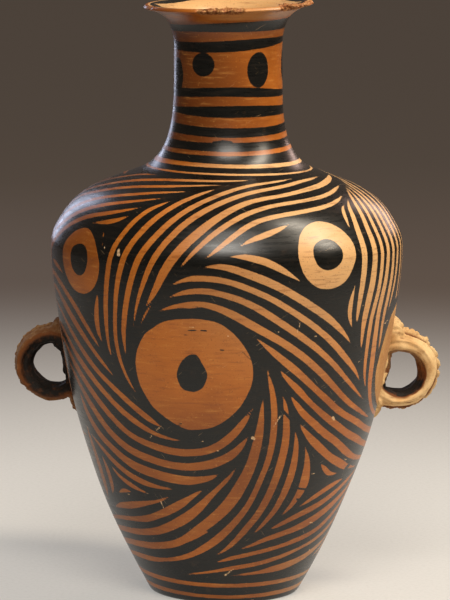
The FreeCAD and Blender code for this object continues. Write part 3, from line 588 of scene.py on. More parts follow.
def added_up(tree, parts):
    """Masks added up, each times its share."""
    total = 0.0
    for mask, share in parts:
        inputs = {0: mask, 1: share, 2: total}
        total = add_node(tree, "ShaderNodeMath", inputs, operation="MULTIPLY_ADD").outputs[0]
    return total


def layered(tree, colour, layers, fade="SMOOTHSTEP"):
    """Lays more colours over one, each where its mask goes from low to high, and there up to its share."""
    for mask, low, high, share, over in layers:
        ends = {"Value": mask, "From Min": low, "From Max": high, "To Max": share}
        cover = add_node(tree, "ShaderNodeMapRange", ends, interpolation_type=fade).outputs[0]
        colour = add_node(tree, "ShaderNodeMix", {0: cover, 6: colour, 7: over}, data_type="RGBA").outputs[2]
    return colour


def finish_clay(tree, shader, colour, roughness, shine, relief, depth, strength):
    """Gives a clay its colour, its roughness and shine, and a relief of a real depth."""
    bump = add_node(tree, "ShaderNodeBump", {"Height": relief, "Distance": depth, "Strength": strength})
    for name, value in (("Base Color", colour), ("Roughness", roughness), ("Normal", bump.outputs[0])):
        tree.links.new(value, shader.inputs[name])
    shader.inputs["Specular IOR Level"].default_value = shine
    add_node(tree, "ShaderNodeOutputMaterial", {"Surface": shader.outputs[0]})


def wavering_area(tree, name, wavers, low, high):
    """Where an area shows that was drawn on the mesh. Its edge wavers, and blurs from low to high, in mm."""
    field = add_node(tree, "ShaderNodeAttribute", attribute_name=name).outputs["Fac"]
    ends = {"Value": added_up(tree, ((field, 1.0),) + wavers), "From Min": low, "From Max": high}
    return add_node(tree, "ShaderNodeMapRange", ends, interpolation_type="SMOOTHSTEP").outputs[0]


def slipped_clay(tree, colours, tone, noise):
    """Orange slip, paler or darker from the kiln and from painted light and shade, streaked by the pebble
    and pricked by grit.
    """
    clay = layered(tree, rgba(colours.clay), ((noise.clouds, 0.35, 0.7, 1.0, rgba(colours.clay_dark)),))
    # The kiln's paler and darker clay, with painted light and painted shade in the same tone
    kiln = ((tone, 0, 1, 1.0, rgba(colours.clay_pale)), (tone, 0, -1, 1.0, rgba(colours.clay_smoked_and_shaded)))
    clay = layered(tree, clay, kiln, fade="LINEAR")
    skin = (
        (noise.streaks, 0.52, 0.8, 0.5, linear("#d08f45")),
        (noise.streaks, 0.48, 0.28, 0.5, linear("#7c3f17")),
        (noise.grit, 0.6, 0.74, 0.55, linear("#6a3614")),
        (noise.quick, 0.62, 0.78, 0.35, linear("#dba055")),
    )
    return layered(tree, clay, skin)


def black_paint(tree, colours, noise):
    """Mineral black, brownish where it is thin: along the streaks, over grit and in a few clouds."""
    worn = rgba(colours.paint_worn)
    thin_places = (
        (noise.streaks, 0.5, 0.85, 0.55, worn),
        (noise.grit, 0.64, 0.76, 0.6, worn),
        (noise.slow, 0.62, 0.8, 0.6, worn),
    )
    return layered(tree, rgba(colours.paint), thin_places)


def unslipped_clay(tree, colours, tone, noise):
    """Buff clay, clouded and gritty. In the lip's chips, where the tone is low, it has dark pits."""
    buff = (
        (noise.clouds, 0.3, 0.7, 1.0, linear("#a9733f")),
        (noise.slow, 0.42, 0.68, 0.7, linear("#b27a41")),
        (noise.quick, 0.5, 0.75, 0.5, rgba(colours.bare)),
        (noise.grit, 0.6, 0.75, 0.5, linear("#8a5c34")),
    )
    clay = layered(tree, linear("#cb9a5e"), buff)
    ends = {"Value": tone, "From Min": 0, "From Max": -0.5}
    low_tone = add_node(tree, "ShaderNodeMapRange", ends).outputs[0]
    ends = {"Value": noise.quick, "From Min": 0.3, "From Max": 0.6}
    pits = add_node(tree, "ShaderNodeMapRange", ends, interpolation_type="SMOOTHSTEP").outputs[0]
    broken = add_node(tree, "ShaderNodeMath", {0: low_tone, 1: pits}, operation="MULTIPLY").outputs[0]
    return layered(tree, clay, ((broken, 0, 1, 1.0, linear("#7a3d12")),), fade="LINEAR")


def scratched(tree, colour, where, worn, noise, chip):
    """Shows broken clay in hair scratches, some 12 mm long and 0.3 mm wide and slanting both ways, and in
    patches where the wall is worn."""
    for slant in (0.6, -0.9):
        inputs = {"Vector": where, "Rotation": (0.4, slant, 0.3)}
        turned = add_node(tree, "ShaderNodeMapping", inputs).outputs[0]
        hairs = mottle(tree, turned, 12 * MM, stretch=(1, 1, 34), detail=1.0)
        colour = layered(tree, colour, ((hairs, 0.77, 0.795, 0.35, chip),))
    ends = {"Value": noise.quick, "From Min": 0.3, "From Max": 0.5, "To Min": 0.4}
    patchy = add_node(tree, "ShaderNodeMapRange", ends, interpolation_type="SMOOTHSTEP").outputs[0]
    shows = add_node(tree, "ShaderNodeMath", {0: worn, 1: patchy}, operation="MULTIPLY").outputs[0]
    return layered(tree, colour, ((shows, 0, 1, 1.0, chip),), fade="LINEAR")


def painted_clay(name="burnished_earthenware_black_painted"):
    """Earthenware slipped and burnished with a pebble, then painted in black before firing: a dull gloss,
    with streaks of the pebble round the wall and brush edges that waver by tenths of a millimetre."""
    colours = bpy.context.scene.jar_colours
    material, tree, shader, where = new_material(name)
    tone = add_node(tree, "ShaderNodeAttribute", attribute_name="tone").outputs["Fac"]
    noise = SimpleNamespace(
        slow=mottle(tree, where, 6 * MM, detail=2.0),
        quick=mottle(tree, where, 1.2 * MM, detail=2.0),
        # Pebble streaks run level round the wall, 1.4 mm apart and some 20 mm long
        streaks=mottle(tree, where, 14 * MM, stretch=(1, 1, 9), detail=4.0, roughness=0.6),
        clouds=mottle(tree, where, 60 * MM),
        grit=mottle(tree, where, 0.9 * MM, detail=2.0),
    )
    # The brush's edge wavers with its hairs, by up to 0.5 mm slowly and 0.3 mm quickly
    hairs = ((noise.slow, 0.5), (noise.quick, 0.3))
    middle = sum(share for waver, share in hairs) / 2
    clay_shows = wavering_area(tree, "reserve", hairs, middle - BRUSH_BLUR, middle + BRUSH_BLUR)
    bare_shows = wavering_area(tree, "bare", ((noise.slow, 2.0),), 0.6, 1.5)
    worn = wavering_area(tree, "wear", ((noise.quick, 0.5),), 0.1, 0.5)

    areas = (
        (clay_shows, 0, 1, 1.0, slipped_clay(tree, colours, tone, noise)),
        (bare_shows, 0, 1, 1.0, unslipped_clay(tree, colours, tone, noise)),
    )
    colour = layered(tree, black_paint(tree, colours, noise), areas, fade="LINEAR")
    colour = scratched(tree, colour, where, worn, noise, rgba(colours.chip))
    # Burnished skin, duller where it is bare or broken
    ends = {"Value": noise.streaks, "From Min": 0.3, "From Max": 0.75, "To Min": 0.24, "To Max": 0.36}
    burnish = add_node(tree, "ShaderNodeMapRange", ends).outputs[0]
    roughness = added_up(tree, ((burnish, 1.0), (clay_shows, 0.06), (bare_shows, 0.34), (worn, 0.3)))
    ends = {0: bare_shows, 1: noise.grit}
    sand = add_node(tree, "ShaderNodeMath", ends, operation="MULTIPLY").outputs[0]
    relief = added_up(tree, ((noise.streaks, 0.5), (noise.quick, 0.12), (sand, 0.5), (worn, -0.5)))
    finish_clay(tree, shader, colour, roughness, 0.45, relief, 0.12 * MM, 0.6)
    return material


def lug_clay(name="bare_buff_earthenware"):
    """Buff clay, pinched and wiped by hand and never burnished: matt, gritty, dirty and painted with shade
    in its hollows.
    """
    material, tree, shader, where = new_material(name)
    clouds = mottle(tree, where, 18 * MM, detail=4.0)
    spots = mottle(tree, where, 4 * MM, detail=4.0, roughness=0.65)
    grit = mottle(tree, where, 0.8 * MM, roughness=0.6)
    buff = (
        (clouds, 0.4, 0.75, 1.0, linear("#c0925a")),
        (spots, 0.5, 0.72, 0.6, linear("#a06d3c")),
        (grit, 0.6, 0.75, 0.6, linear("#6e4626")),
    )
    colour = layered(tree, linear("#dcba86"), buff)
    field = add_node(tree, "ShaderNodeAttribute", attribute_name="dirt_and_shade").outputs["Fac"]
    ends = {"Value": spots, "From Min": 0.25, "From Max": 0.6, "To Min": 0.75}
    patchy = add_node(tree, "ShaderNodeMapRange", ends, interpolation_type="SMOOTHSTEP").outputs[0]
    dirt_and_shade = add_node(tree, "ShaderNodeMath", {0: field, 1: patchy}, operation="MULTIPLY").outputs[0]
    # Dark brown, then near black, where dirt lies and shade is painted: in hollows, on the inner face and
    # over the left lug
    grime_and_shade = ((dirt_and_shade, 0, 0.5, 1.0, linear("#6e3c14")), (dirt_and_shade, 0.5, 0.9, 1.0, linear("#150d06")))
    colour = layered(tree, colour, grime_and_shade)
    ends = {"Value": grit, "From Min": 0.3, "From Max": 0.7, "To Min": 0.7, "To Max": 0.92}
    roughness = add_node(tree, "ShaderNodeMapRange", ends, interpolation_type="SMOOTHSTEP").outputs[0]
    relief = added_up(tree, ((spots, 0.9), (grit, 0.5)))
    finish_clay(tree, shader, colour, roughness, 0.35, relief, 0.35 * MM, 0.7)
    return material


def outline(places):
    """Points along the spans between places, each span bent by its ends' leans."""
    points = []
    for (r0, z0, lean0), (r1, z1, lean1) in zip(places, places[1:]):
        reach = HANDLE_SHARE * math.hypot(r1 - r0, z1 - z0)
        start, end = np.array([r0, z0], float), np.array([r1, z1], float)
        a, b = math.radians(lean0), math.radians(lean1)
        first = start + reach * np.array([math.sin(a), math.cos(a)])
        second = end - reach * np.array([math.sin(b), math.cos(b)])
        t = np.linspace(0, 1, SPAN_POINTS)[:, None]
        near_start = (1 - t) ** 3 * start + 3 * (1 - t) ** 2 * t * first
        span = near_start + 3 * (1 - t) * t * t * second + t**3 * end
        points.append(span[1:] if points else span)
    return np.vstack(points)


def inside_places():
    """The inside of the wall, from the edge of the floor to the crest of the lip."""
    radius, height, lean = OUTSIDE[1]
    slope = math.radians(lean)
    floor_radius = radius + (FLOOR_HEIGHT - height) * math.tan(slope) - BODY_WALL / math.cos(slope)
    places = [(floor_radius, FLOOR_HEIGHT, lean)]
    for radius, height, lean in OUTSIDE[2:-3]:
        wall = BODY_WALL if height < NECK_LEVEL else NECK_WALL
        slope = math.radians(lean)
        places.append((radius - wall * math.cos(slope), height + wall * math.sin(slope), lean))
    return places + [(*OUTSIDE[-1][:2], 90)]


def lengths_along(points):
    return np.r_[0, np.cumsum(np.hypot(*np.diff(points, axis=0).T))]


OUTER = outline(OUTSIDE)
INNER = outline(inside_places())
OUTER_LENGTHS = lengths_along(OUTER)
INNER_LENGTHS = lengths_along(INNER)


def part_of(points, lengths, low, high, step):
    """Evenly spaced points of an outline between two heights, from low to high."""
    start = np.interp(low, points[:, 1], lengths)
    end = np.interp(high, points[:, 1], lengths)
    count = max(2, int(math.ceil((end - start) / step)) + 1)
    at = np.linspace(start, end, count)
    return np.stack([np.interp(at, lengths, points[:, 0]), np.interp(at, lengths, points[:, 1])], 1)


def smooth_line(points, closed=False, steps=6):
    """A line bent smoothly through its places."""
    p = np.array(points, float)
    p = np.vstack([p[-1], p, p[0], p[1]] if closed else [2 * p[0] - p[1], p, 2 * p[-1] - p[-2]])
    t = np.linspace(0, 1, steps, endpoint=False)[:, None]
    line = []
    for a, b, c, d in zip(p, p[1:], p[2:], p[3:]):
        turn = (2 * a - 5 * b + 4 * c - d) * t**2
        line.append(0.5 * (2 * b + (c - a) * t + turn + (3 * b - a - 3 * c + d) * t**3))
    return np.vstack(line + ([] if closed else [p[-2:-1]]))


def distance_to_line(spots, scale, line):
    """For each spot, the distance in mm to a line, or to the edge of a stroke if the line has widths."""
    best = np.full(len(spots), np.inf)
    for a, b in zip(line, line[1:]):
        step = np.stack([(b[0] - a[0]) * scale, np.full(len(spots), b[1] - a[1])], 1)
        away = np.stack([(spots[:, 0] - a[0]) * scale, spots[:, 1] - a[1]], 1)
        t = ((away * step).sum(1) / np.maximum((step**2).sum(1), 1e-9)).clip(0, 1)
        far = np.hypot(*(away - t[:, None] * step).T)
        width = a[2] + (b[2] - a[2]) * t if len(a) > 2 else 0.0
        best = np.minimum(best, far - width / 2)
    return best


def near(spots, line, scale, margin):
    """Which spots lie near enough to a line to be drawn by it."""
    low, high = line.min(0), line.max(0)
    side = margin / scale
    inside = (spots[:, 0] > low[0] - side) & (spots[:, 0] < high[0] + side)
    return np.nonzero(inside & (spots[:, 1] > low[1] - margin) & (spots[:, 1] < high[1] + margin))[0]


def within(spots, line):
    """Which spots lie inside a closed line."""
    inside = np.zeros(len(spots), bool)
    for a, b in zip(line, np.roll(line, -1, 0)):
        crosses = (a[1] > spots[:, 1]) != (b[1] > spots[:, 1])
        rise = b[1] - a[1] if b[1] != a[1] else 1e-9
        inside ^= crosses & (spots[:, 0] < (b[0] - a[0]) * (spots[:, 1] - a[1]) / rise + a[0])
    return inside


def lay_down(field, which, depth, sign):
    """Adds a shape's signed distances to a field, or takes the shape out of it."""
    field[which] = np.maximum(field[which], depth) if sign > 0 else np.minimum(field[which], -depth)


def draw_area(field, spots, scale, places, sign=1):
    """Draws a closed area through its places."""
    line = smooth_line(places, closed=True)
    which = near(spots, line, scale, REACH)
    if len(which):
        far = distance_to_line(spots[which], scale[which], np.vstack([line, line[:1]]))
        lay_down(field, which, np.where(within(spots[which], line), far, -far), sign)


def evened(line, passes=24):
    """A line as a loaded brush leaves it, with the kinks drawn out and the ends kept."""
    for _ in range(passes):
        line[1:-1] = (line[:-2] + 2 * line[1:-1] + line[2:]) / 4
    return line


def draw_strokes(field, spots, scale, strokes, sign=1, stretch=10):
    """Draws strokes through their places, a short stretch at a time."""
    for stroke in strokes:
        line = evened(smooth_line(stroke)) if len(stroke) > 2 else np.array(stroke, float)
        line[:, 2] = line[:, 2].clip(0)
        for start in range(0, len(line) - 1, stretch):
            piece = line[start : start + stretch + 1]
            which = near(spots, piece[:, :2], scale, REACH + piece[:, 2].max() / 2)
            if len(which):
                lay_down(field, which, -distance_to_line(spots[which], scale[which], piece), sign)


def wrapped(azimuth):
    return (azimuth + 180) % 360 - 180


def hand_drawn_height(edge, azimuth):
    """Height of a ring's edge that passes through its heights at the left, the front and the right."""
    left, front, right = edge
    side = np.sin(np.radians(azimuth))
    waver = RING_WAVER * np.sin(np.radians(3 * azimuth + 40 * front))
    return front + (right - left) / 2 * side + ((right + left) / 2 - front) * side**2 + waver


def paint_fields(azimuth, height, radius):
    """Signed distances in mm to the reserved clay, to the bare clay and to the marks of wear."""
    scale = np.maximum(radius, 5) * math.pi / 180
    reserve, bare, wear = [np.full(len(azimuth), -REACH) for _ in range(3)]
    for turn in (0, 180):
        spots = np.stack([wrapped(azimuth - turn), height], 1)
        for bundle in (SHOULDER_FAN, RISING, FALLING, PASSING_BELOW, CURVING_DOWN, LOWER_FAN, UPRIGHT):
            draw_strokes(reserve, spots, scale, bundle)
        for disc, dot in (LARGE_DISC, LEFT_DISC, RIGHT_DISC):
            draw_area(reserve, spots, scale, disc)
            draw_area(reserve, spots, scale, dot, -1)
    for edges in RINGS:
        low, high = [hand_drawn_height(edge, azimuth) for edge in edges]
        reserve = np.maximum(reserve, np.minimum(height - low, high - height))
    for turn, middle, wide, tall in NECK_OVALS:
        x, y = wrapped(azimuth - turn) * scale, height - middle
        size = np.hypot(x / (wide / 2), y / (tall / 2))
        reserve = np.minimum(reserve, (size - 1) * min(wide, tall) / 2)
    spots = np.stack([wrapped(azimuth), height], 1)
    draw_strokes(reserve, spots, scale, [((*a, w), (*b, w)) for a, b, w in BLACK_CUTS], -1)
    for places in (BARE_RIGHT, BARE_LEFT):
        draw_area(bare, spots, scale, places)
    draw_strokes(wear, spots, scale, [((*a, w), (*b, w * SCRATCH_TAIL)) for a, b, w in PALE_MARKS])
    return [field.clip(-REACH, REACH) for field in (reserve, bare, wear)]


def start_clean():
    """Nothing selected, and no object in edit mode."""
    if bpy.context.object and bpy.context.object.mode != "OBJECT":
        bpy.ops.object.mode_set(mode="OBJECT")
    bpy.ops.object.select_all(action="DESELECT")


def activate(obj):
    start_clean()
    obj.select_set(True)
    bpy.context.view_layer.objects.active = obj


def spun(name, places, steps, axis, closed=True):
    """A line through places in mm, spun round an axis through the origin into a closed body."""
    count = len(places)
    mesh = bpy.data.meshes.new(name)
    edges = [(i, (i + 1) % count) for i in range(count if closed else count - 1)]
    mesh.from_pydata([(x * MM, y * MM, z * MM) for x, y, z in places], edges, [])
    obj = bpy.data.objects.new(name, mesh)
    bpy.context.scene.collection.objects.link(obj)
    activate(obj)
    bpy.ops.object.mode_set(mode="EDIT")
    bpy.ops.mesh.select_all(action="SELECT")
    bpy.ops.mesh.spin(steps=steps, angle=2 * math.pi, center=(0, 0, 0), axis=axis)
    bpy.ops.mesh.select_all(action="SELECT")
    bpy.ops.mesh.remove_doubles(threshold=SAME_POINT)
    bpy.ops.mesh.normals_make_consistent(inside=False)
    bpy.ops.object.mode_set(mode="OBJECT")
    return obj


def spun_profile(name, profile, columns, closed=True):
    """A profile of radius and height in mm, spun round the jar's axis."""
    return spun(name, [(0, r, z) for r, z in profile], columns, (0, 0, 1), closed)


def apply_modifier(obj, kind, **settings):
    """Gives the active object a modifier and applies it."""
    modifier = obj.modifiers.new(kind.lower(), kind)
    for name, value in settings.items():
        setattr(modifier, name, value)
    bpy.ops.object.modifier_apply(modifier=modifier.name)


def points_of(obj):
    found = np.empty(len(obj.data.vertices) * 3)
    obj.data.vertices.foreach_get("co", found)
    return found.reshape(-1, 3)


def move_points(obj, points):
    obj.data.vertices.foreach_set("co", np.ascontiguousarray(points, dtype=float).ravel())
    obj.data.update()


def set_field(obj, name, values):
    layer = obj.data.attributes.new(name, "FLOAT", "POINT")
    layer.data.foreach_set("value", np.ascontiguousarray(values, dtype=np.float32))


def rising(value, low, high):
    """From 0 at the low end to 1 at the high end, smooth at both."""
    share = ((value - low) / (high - low)).clip(0, 1)
    return share * share * (3 - 2 * share)


def swelling(value, start, full, wane, end):
    """From 0 up to 1 and back to 0, smooth all along."""
    return rising(value, start, full) * (1 - rising(value, wane, end))


def waves(points, seed, size):
    """Smooth bumps of about a given size in mm, mostly from -1 to 1, the same on every run."""
    chance = np.random.default_rng(seed)
    total = np.zeros(len(points))
    for _ in range(WAVES):
        way = chance.normal(size=3)
        way *= 2 * math.pi / (size * np.linalg.norm(way)) * chance.uniform(0.6, 1.5)
        total += np.sin(points @ way / MM + chance.uniform(0, 2 * math.pi))
    return total / (WAVES / 2)


def finish_piece(obj, material, nodes):
    """Gives a piece its material, smooths it, hangs it under the jar's root and hides the jar's nodes that
    it stands for.
    """
    obj.data.materials.clear()
    obj.data.materials.append(material)
    activate(obj)
    bpy.ops.object.shade_smooth_by_angle(angle=math.radians(50))
    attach(obj, "root")
    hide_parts(*nodes)


def lay_out_flat(obj, outside, length, strips):
    """Unrolls a ring of the wall for its finish: the outside in wide strips at the bottom of the sheet, the
    inside in one strip above them, and the joint faces in two narrow ones at the top."""
    mesh = obj.data
    corners = np.empty(len(mesh.loops), dtype=np.int32)
    mesh.loops.foreach_get("vertex_index", corners)
    sides = np.empty(len(mesh.polygons), dtype=np.int32)
    mesh.polygons.foreach_get("loop_total", sides)
    face = np.repeat(np.arange(len(sides)), sides)
    points = points_of(obj)[corners]
    middles = [np.bincount(face, weights=points[:, axis])[face] / sides[face] for axis in range(3)]
    azimuth = np.degrees(np.arctan2(points[:, 0], -points[:, 1]))
    middle = np.degrees(np.arctan2(middles[0], -middles[1]))
    turn = middle + wrapped(azimuth - middle) + 180
    out = outside[corners].astype(float)
    kind = np.bincount(face, weights=out)[face] / sides[face]
    span = 360 / strips
    strip = np.floor((middle + 180) / span).clip(0, strips - 1)
    share = np.zeros(len(corners))
    for side in (False, True):
        which = outside[corners] == side
        low, high = length[outside == side].min(), length[outside == side].max()
        share[which] = ((length[corners] - low) / (high - low))[which]
    room = STRIPS_TOP / strips
    u = np.where(kind > 0.99, (turn - strip * span) / span, turn / 360)
    top = middles[2] > points_of(obj)[:, 2].mean()
    joint = JOINT_BANDS[0] + JOINT_BANDS[1] * top + JOINT_BANDS[2] * out
    inside_or_joint = np.where(kind < 0.01, INSIDE_BAND[0] + INSIDE_BAND[1] * share, joint)
    v = np.where(kind > 0.99, strip * room + share * (room - STRIP_GAP), inside_or_joint)
    flat = mesh.uv_layers.new(name="OFBake")
    placed = MARGIN + (1 - 2 * MARGIN) * np.stack([u, v], 1)
    flat.data.foreach_set("uv", placed.astype(np.float32).ravel())


def wander(points, lift, tilt, unevenness):
    """Where the hand-built wall strays from the true outline: a soft swell here and there, and a lip that
    stands a little high and tilts."""
    moved = points.copy()
    radius = np.hypot(points[:, 0], points[:, 1])
    moved[:, :2] *= (1 + unevenness * waves(points, 11, 90) / np.maximum(radius, 20 * MM))[:, None]
    share = rising(points[:, 2] / MM, NECK_LEVEL, LIP_LEVEL)
    moved[:, 2] += share * (lift + tilt * points[:, 0] / (OUTSIDE[-2][0] * MM))
    return moved


def clay_tone_and_painted_light(azimuth, height):
    """How much paler, up to 1, or darker, down to -1, the clay is painted: the kiln's clouding and smoke,
    with painted light on the upper right and painted shade on the neck and by the left lug.
    """
    # Paler on the upper right, a band that leans along the strokes: partly the kiln, partly painted light
    # where the light falls from the upper right
    tone = 0.75 * rising(azimuth + 0.2 * height, 10, 90) * rising(height, 130, 235)
    tone *= 1 - rising(azimuth, 100, 150)
    # Dark on the neck, partly painted shade under the overhanging lip, and a little dark on the lip, and
    # dark and pale patches low down
    tone -= 0.95 * swelling(height, 310, 324, 398, 402) + 0.45 * rising(height, 398, 402)
    tone -= 0.3 * swelling(height, 30, 60, 90, 160)
    tone += 0.3 * swelling(azimuth, 15, 75, 100, 150) * (1 - rising(height, 60, 150))
    # The wall behind the left lug is browned: smoke, and painted shade on the side away from the light
    tone -= 0.5 * swelling(-azimuth, 66, 82, 118, 134) * swelling(height, 106, 126, 184, 204)
    return tone


def chip_lip(points, azimuth, radius, level, outside):
    """Breaks the chips out of the lip. Gives each point's share of its chip's depth, from 0 to about 2."""
    crest = (level > CHIPPED_ABOVE) & (radius > CHIPPED_OUTSIDE)
    rough = waves(points, 31, 6) + 0.7 * waves(points, 33, 3.2)
    broken = np.zeros(len(points))
    for middle, half, deep in LIP_CHIPS:
        share = (1 - (wrapped(azimuth - middle) / half) ** 2).clip(0) ** 0.5 * crest
        edge = (share * rising(radius, *CHIPS_DEEPEN) * (1.2 + 0.7 * rough)).clip(0)
        points[:, 2] -= deep * MM * edge * np.where(outside, -0.15, 0.55)
        points[:, :2] *= (1 - deep * edge / np.maximum(radius, 1))[:, None]
        broken = np.maximum(broken, edge)
    return broken


def dress_wall(obj, strips=0):
    """Paints a piece of the wall, then moves its surface as the potter and the years left it."""
    sizes = bpy.context.scene.jar_sizes
    points = points_of(obj)
    azimuth = np.degrees(np.arctan2(points[:, 0], -points[:, 1]))
    radius = np.hypot(points[:, 0], points[:, 1]) / MM
    level = points[:, 2] / MM
    outer_radius = np.interp(level, OUTER[:, 1], OUTER[:, 0])
    inner_radius = np.interp(level, INNER[:, 1], INNER[:, 0])
    underside = level <= 0.01
    outside = (radius > (outer_radius + inner_radius) / 2) & ~underside
    inside = ~outside
    height = np.interp(level, OUTER[:, 1], OUTER_LENGTHS) - TAPE_START
    inner_height = np.interp(level, INNER[:, 1], INNER_LENGTHS)
    if strips:
        lay_out_flat(obj, outside, np.where(outside, height, inner_height), strips)

    reserve, bare, wear = [np.full(len(points), -REACH) for _ in range(3)]
    found = paint_fields(azimuth[outside], height[outside], radius[outside])
    for field, values in zip((reserve, bare, wear), found):
        field[outside] = values
    # Inside, the clay is bare below the throat, and black arcs hang from the edge of the lip
    depth = (INNER_LENGTHS[-1] - inner_height).clip(0)
    arc = np.abs(wrapped(azimuth * LIP_ARCS + ARC_PHASE)) / 180
    hang = ARC_ENDS + ARC_SAG * np.sqrt((1 - arc**2).clip(0))
    reserve[inside] = np.maximum(depth - hang, LIP_EDGE - depth)[inside].clip(-REACH, REACH)
    bare[inside] = ((depth - THROAT_DEPTH) / 3)[inside].clip(-REACH, REACH)
    bare[underside] = REACH
    tone = clay_tone_and_painted_light(azimuth, height)
    # Inside, the clay is paler: its own colour, and painted light on the lip's inner face, which turns up to
    # the light
    tone[inside] = 0.7

    broken = chip_lip(points, azimuth, radius, level, outside)
    bare = np.maximum(bare, np.where(outside & (broken > 0.1), 2.6 * broken, -REACH))
    tone = np.where(broken > 0.12, -0.45, tone)
    # The foot's edge is nicked from standing
    foot = (level < OUTSIDE[1][1] + 0.1) & outside
    nick = waves(points, 47, 7)
    wear = np.where(foot & (nick > 0.75), 1.0, wear)
    points[:, 2] += np.where(foot, (nick - 0.6).clip(0) * 0.9 * MM, 0)
    # The lip is drawn out thin towards its edge
    under_lip = rising(radius, 38, 48) * (1 - rising(level, 356, 359)) * (outside & (level > LIP_LEVEL))
    points[:, 2] += sizes.lip_thinning * under_lip
    for name, values in (("reserve", reserve), ("bare", bare), ("wear", wear), ("tone", tone)):
        set_field(obj, name, values)
    move_points(obj, wander(points, sizes.lip_lift, sizes.lip_tilt, sizes.unevenness))


class JAR_OT_wall(bpy.types.Operator):
    """Spin the five bodies of the painted wall, from the base to the lip"""

    bl_idname = "jar.wall"
    bl_label = "Painted Wall"

    def execute(self, context):
        sizes = context.scene.jar_sizes
        row = sizes.row / MM
        material = painted_clay()
        coils = ["wall_coil_%d" % n for n in range(1, 9)]
        shoulders = ["shoulder_coil_%d" % n for n in range(1, 5)]
        # The base, closed across the floor
        underside = [(r, 0) for r in np.linspace(0, OUTSIDE[0][0], 12)[:-1]]
        edge = part_of(OUTER, OUTER_LENGTHS, 0, FLOOR_HEIGHT, row)
        floor = [(INNER[0][0] * share, FLOOR_HEIGHT) for share in (1, 0.66, 0.33, 0)]
        base = spun_profile("base_disc_painted", underside + list(edge) + floor, sizes.columns, closed=False)
        dress_wall(base)
        finish_piece(base, material, ["base_disc"])
        # The rings above it: name, nodes, faces round it, and the rows of its outside and inside
        neck = ["neck_coil_1", "neck_coil_2", "mouth_rim"]
        rings = (
            ("lower_wall_painted", coils[:4], sizes.columns, row, row * 5),
            ("belly_wall_painted", coils[4:], sizes.columns, row, row * 5),
            ("shoulder_painted", shoulders + ["neck_collar"], sizes.columns, row, row * 5),
            ("neck_and_lip_painted", neck, sizes.columns * 3 // 5, row * 0.6, row * 0.9),
        )
        tops = [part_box(nodes[-1])[1][2] / MM for name, nodes, *rest in rings[:-1]] + [OUTSIDE[-1][1]]
        bottoms = [FLOOR_HEIGHT] + tops
        for (name, nodes, columns, outer_row, inner_row), low, high in zip(rings, bottoms, tops):
            outer = part_of(OUTER, OUTER_LENGTHS, low, high, outer_row)
            inner = part_of(INNER, INNER_LENGTHS, low, high, inner_row)[::-1]
            if nodes is neck:
                inner = inner[1:]
            ring = spun_profile(name, list(outer) + list(inner), columns)
            dress_wall(ring, strips=1 if nodes is neck else 2)
            finish_piece(ring, material, nodes)
        return {"FINISHED"}


def lug_place(side):
    """Turns and moves a loop that was made about the middle, with its axis along Y, to its place."""
    turn = math.radians(LUG_SET_BACK) * side + (math.pi if side < 0 else 0)
    level = LUG_LEVEL + LUG_RISES[side]
    return Matrix.Rotation(turn, 4, "Z") @ Matrix.Translation((LUG_REACH * MM, 0, level * MM))


def turn_and_ring(points):
    """For points about the middle: the turn round the loop (0 outward, a quarter turn up), and the distance
    from the loop's middle in mm."""
    return np.arctan2(points[:, 2], points[:, 0]), np.hypot(points[:, 0], points[:, 2]) / MM


def around_loop(obj, side):
    """For each point of a lug in its place: its turn, its distance from the loop's middle, and its place
    across the strap in mm."""
    points = np.c_[points_of(obj), np.ones(len(obj.data.vertices))]
    local = points @ np.array(lug_place(side).inverted()).T
    return *turn_and_ring(local), local[:, 1] / MM


def scale_rings(points, share):
    """Moves points of a loop towards or away from its axis."""
    points[:, 0] *= share
    points[:, 2] *= share


def set_in_place(obj, points, side):
    """Presses a loop flatter in its lower half and moves it to its place on the wall."""
    points[:, 2] *= np.where(points[:, 2] < 0, SQUEEZE, 1)
    move_points(obj, points)
    obj.data.transform(lug_place(side))


def cut_by_wall(obj, depth):
    """Takes away what would lie deeper in the wall than a lug is pressed into it."""
    profile = part_of(OUTER, OUTER_LENGTHS, *ROOTED_WALL)
    ends = [(0, profile[0][1])] + [(r - depth, z) for r, z in profile] + [(0, profile[-1][1])]
    core = spun_profile("core", ends, 240, closed=False)
    activate(obj)
    before = len(obj.data.polygons)
    apply_modifier(obj, "BOOLEAN", operation="DIFFERENCE", solver="MANIFOLD", object=core)
    bpy.data.objects.remove(core)
    if len(obj.data.polygons) < before / 3:
        raise RuntimeError("the cut along the wall took %s away" % obj.name)


def strap_loop(name, half, outer, waist):
    """A ring of chunky section: the outer face bulges, the inner face is nearly flat."""
    section = []
    for t in np.linspace(0, 2 * math.pi, 40, endpoint=False):
        y = half * math.copysign(abs(math.sin(t)) ** 0.75, math.sin(t))
        out = math.copysign(abs(math.cos(t)) ** 0.6, math.cos(t))
        bulge = max(0.0, 1 - (y / half) ** 2) * (STRAP_BULGE if out > 0 else 0)
        section.append(((outer + waist) / 2 + out * (outer - waist) / 2 + bulge, y, 0))
    return spun(name, section, 144, (0, 1, 0))


def pressed_root(side, rise, out, swell, wide, tall):
    """A ball of clay pressed flat on the wall, leaning with it."""
    bpy.ops.mesh.primitive_uv_sphere_add(segments=48, ring_count=24, radius=1)
    ball = bpy.context.object
    ball.data.transform(Matrix.Diagonal((swell * MM, wide * MM, tall * MM, 1)))
    level = LUG_LEVEL + LUG_RISES[side] + rise
    heights = (level - ROOT_SPAN / 2, level, level + ROOT_SPAN / 2)
    below, wall, above = np.interp(heights, OUTER[:, 1], OUTER[:, 0])
    lean = Matrix.Rotation(math.atan2(above - below, ROOT_SPAN), 4, "Y")
    shift = Matrix.Translation(((wall + out - LUG_REACH) * MM, 0, rise * MM))
    ball.data.transform(lug_place(side) @ shift @ lean)
    return ball


def finger_grooves(turn, ring, across, side):
    """Grooves and creases that fingers dragged along the strap, some 30 mm long and 3 mm apart, in mm."""
    drawn = np.c_[turn * 20 * 0.12, ring, across] * MM
    return 0.75 * waves(drawn, 21 + side, 6) + 0.45 * waves(drawn, 25 + side, 3)


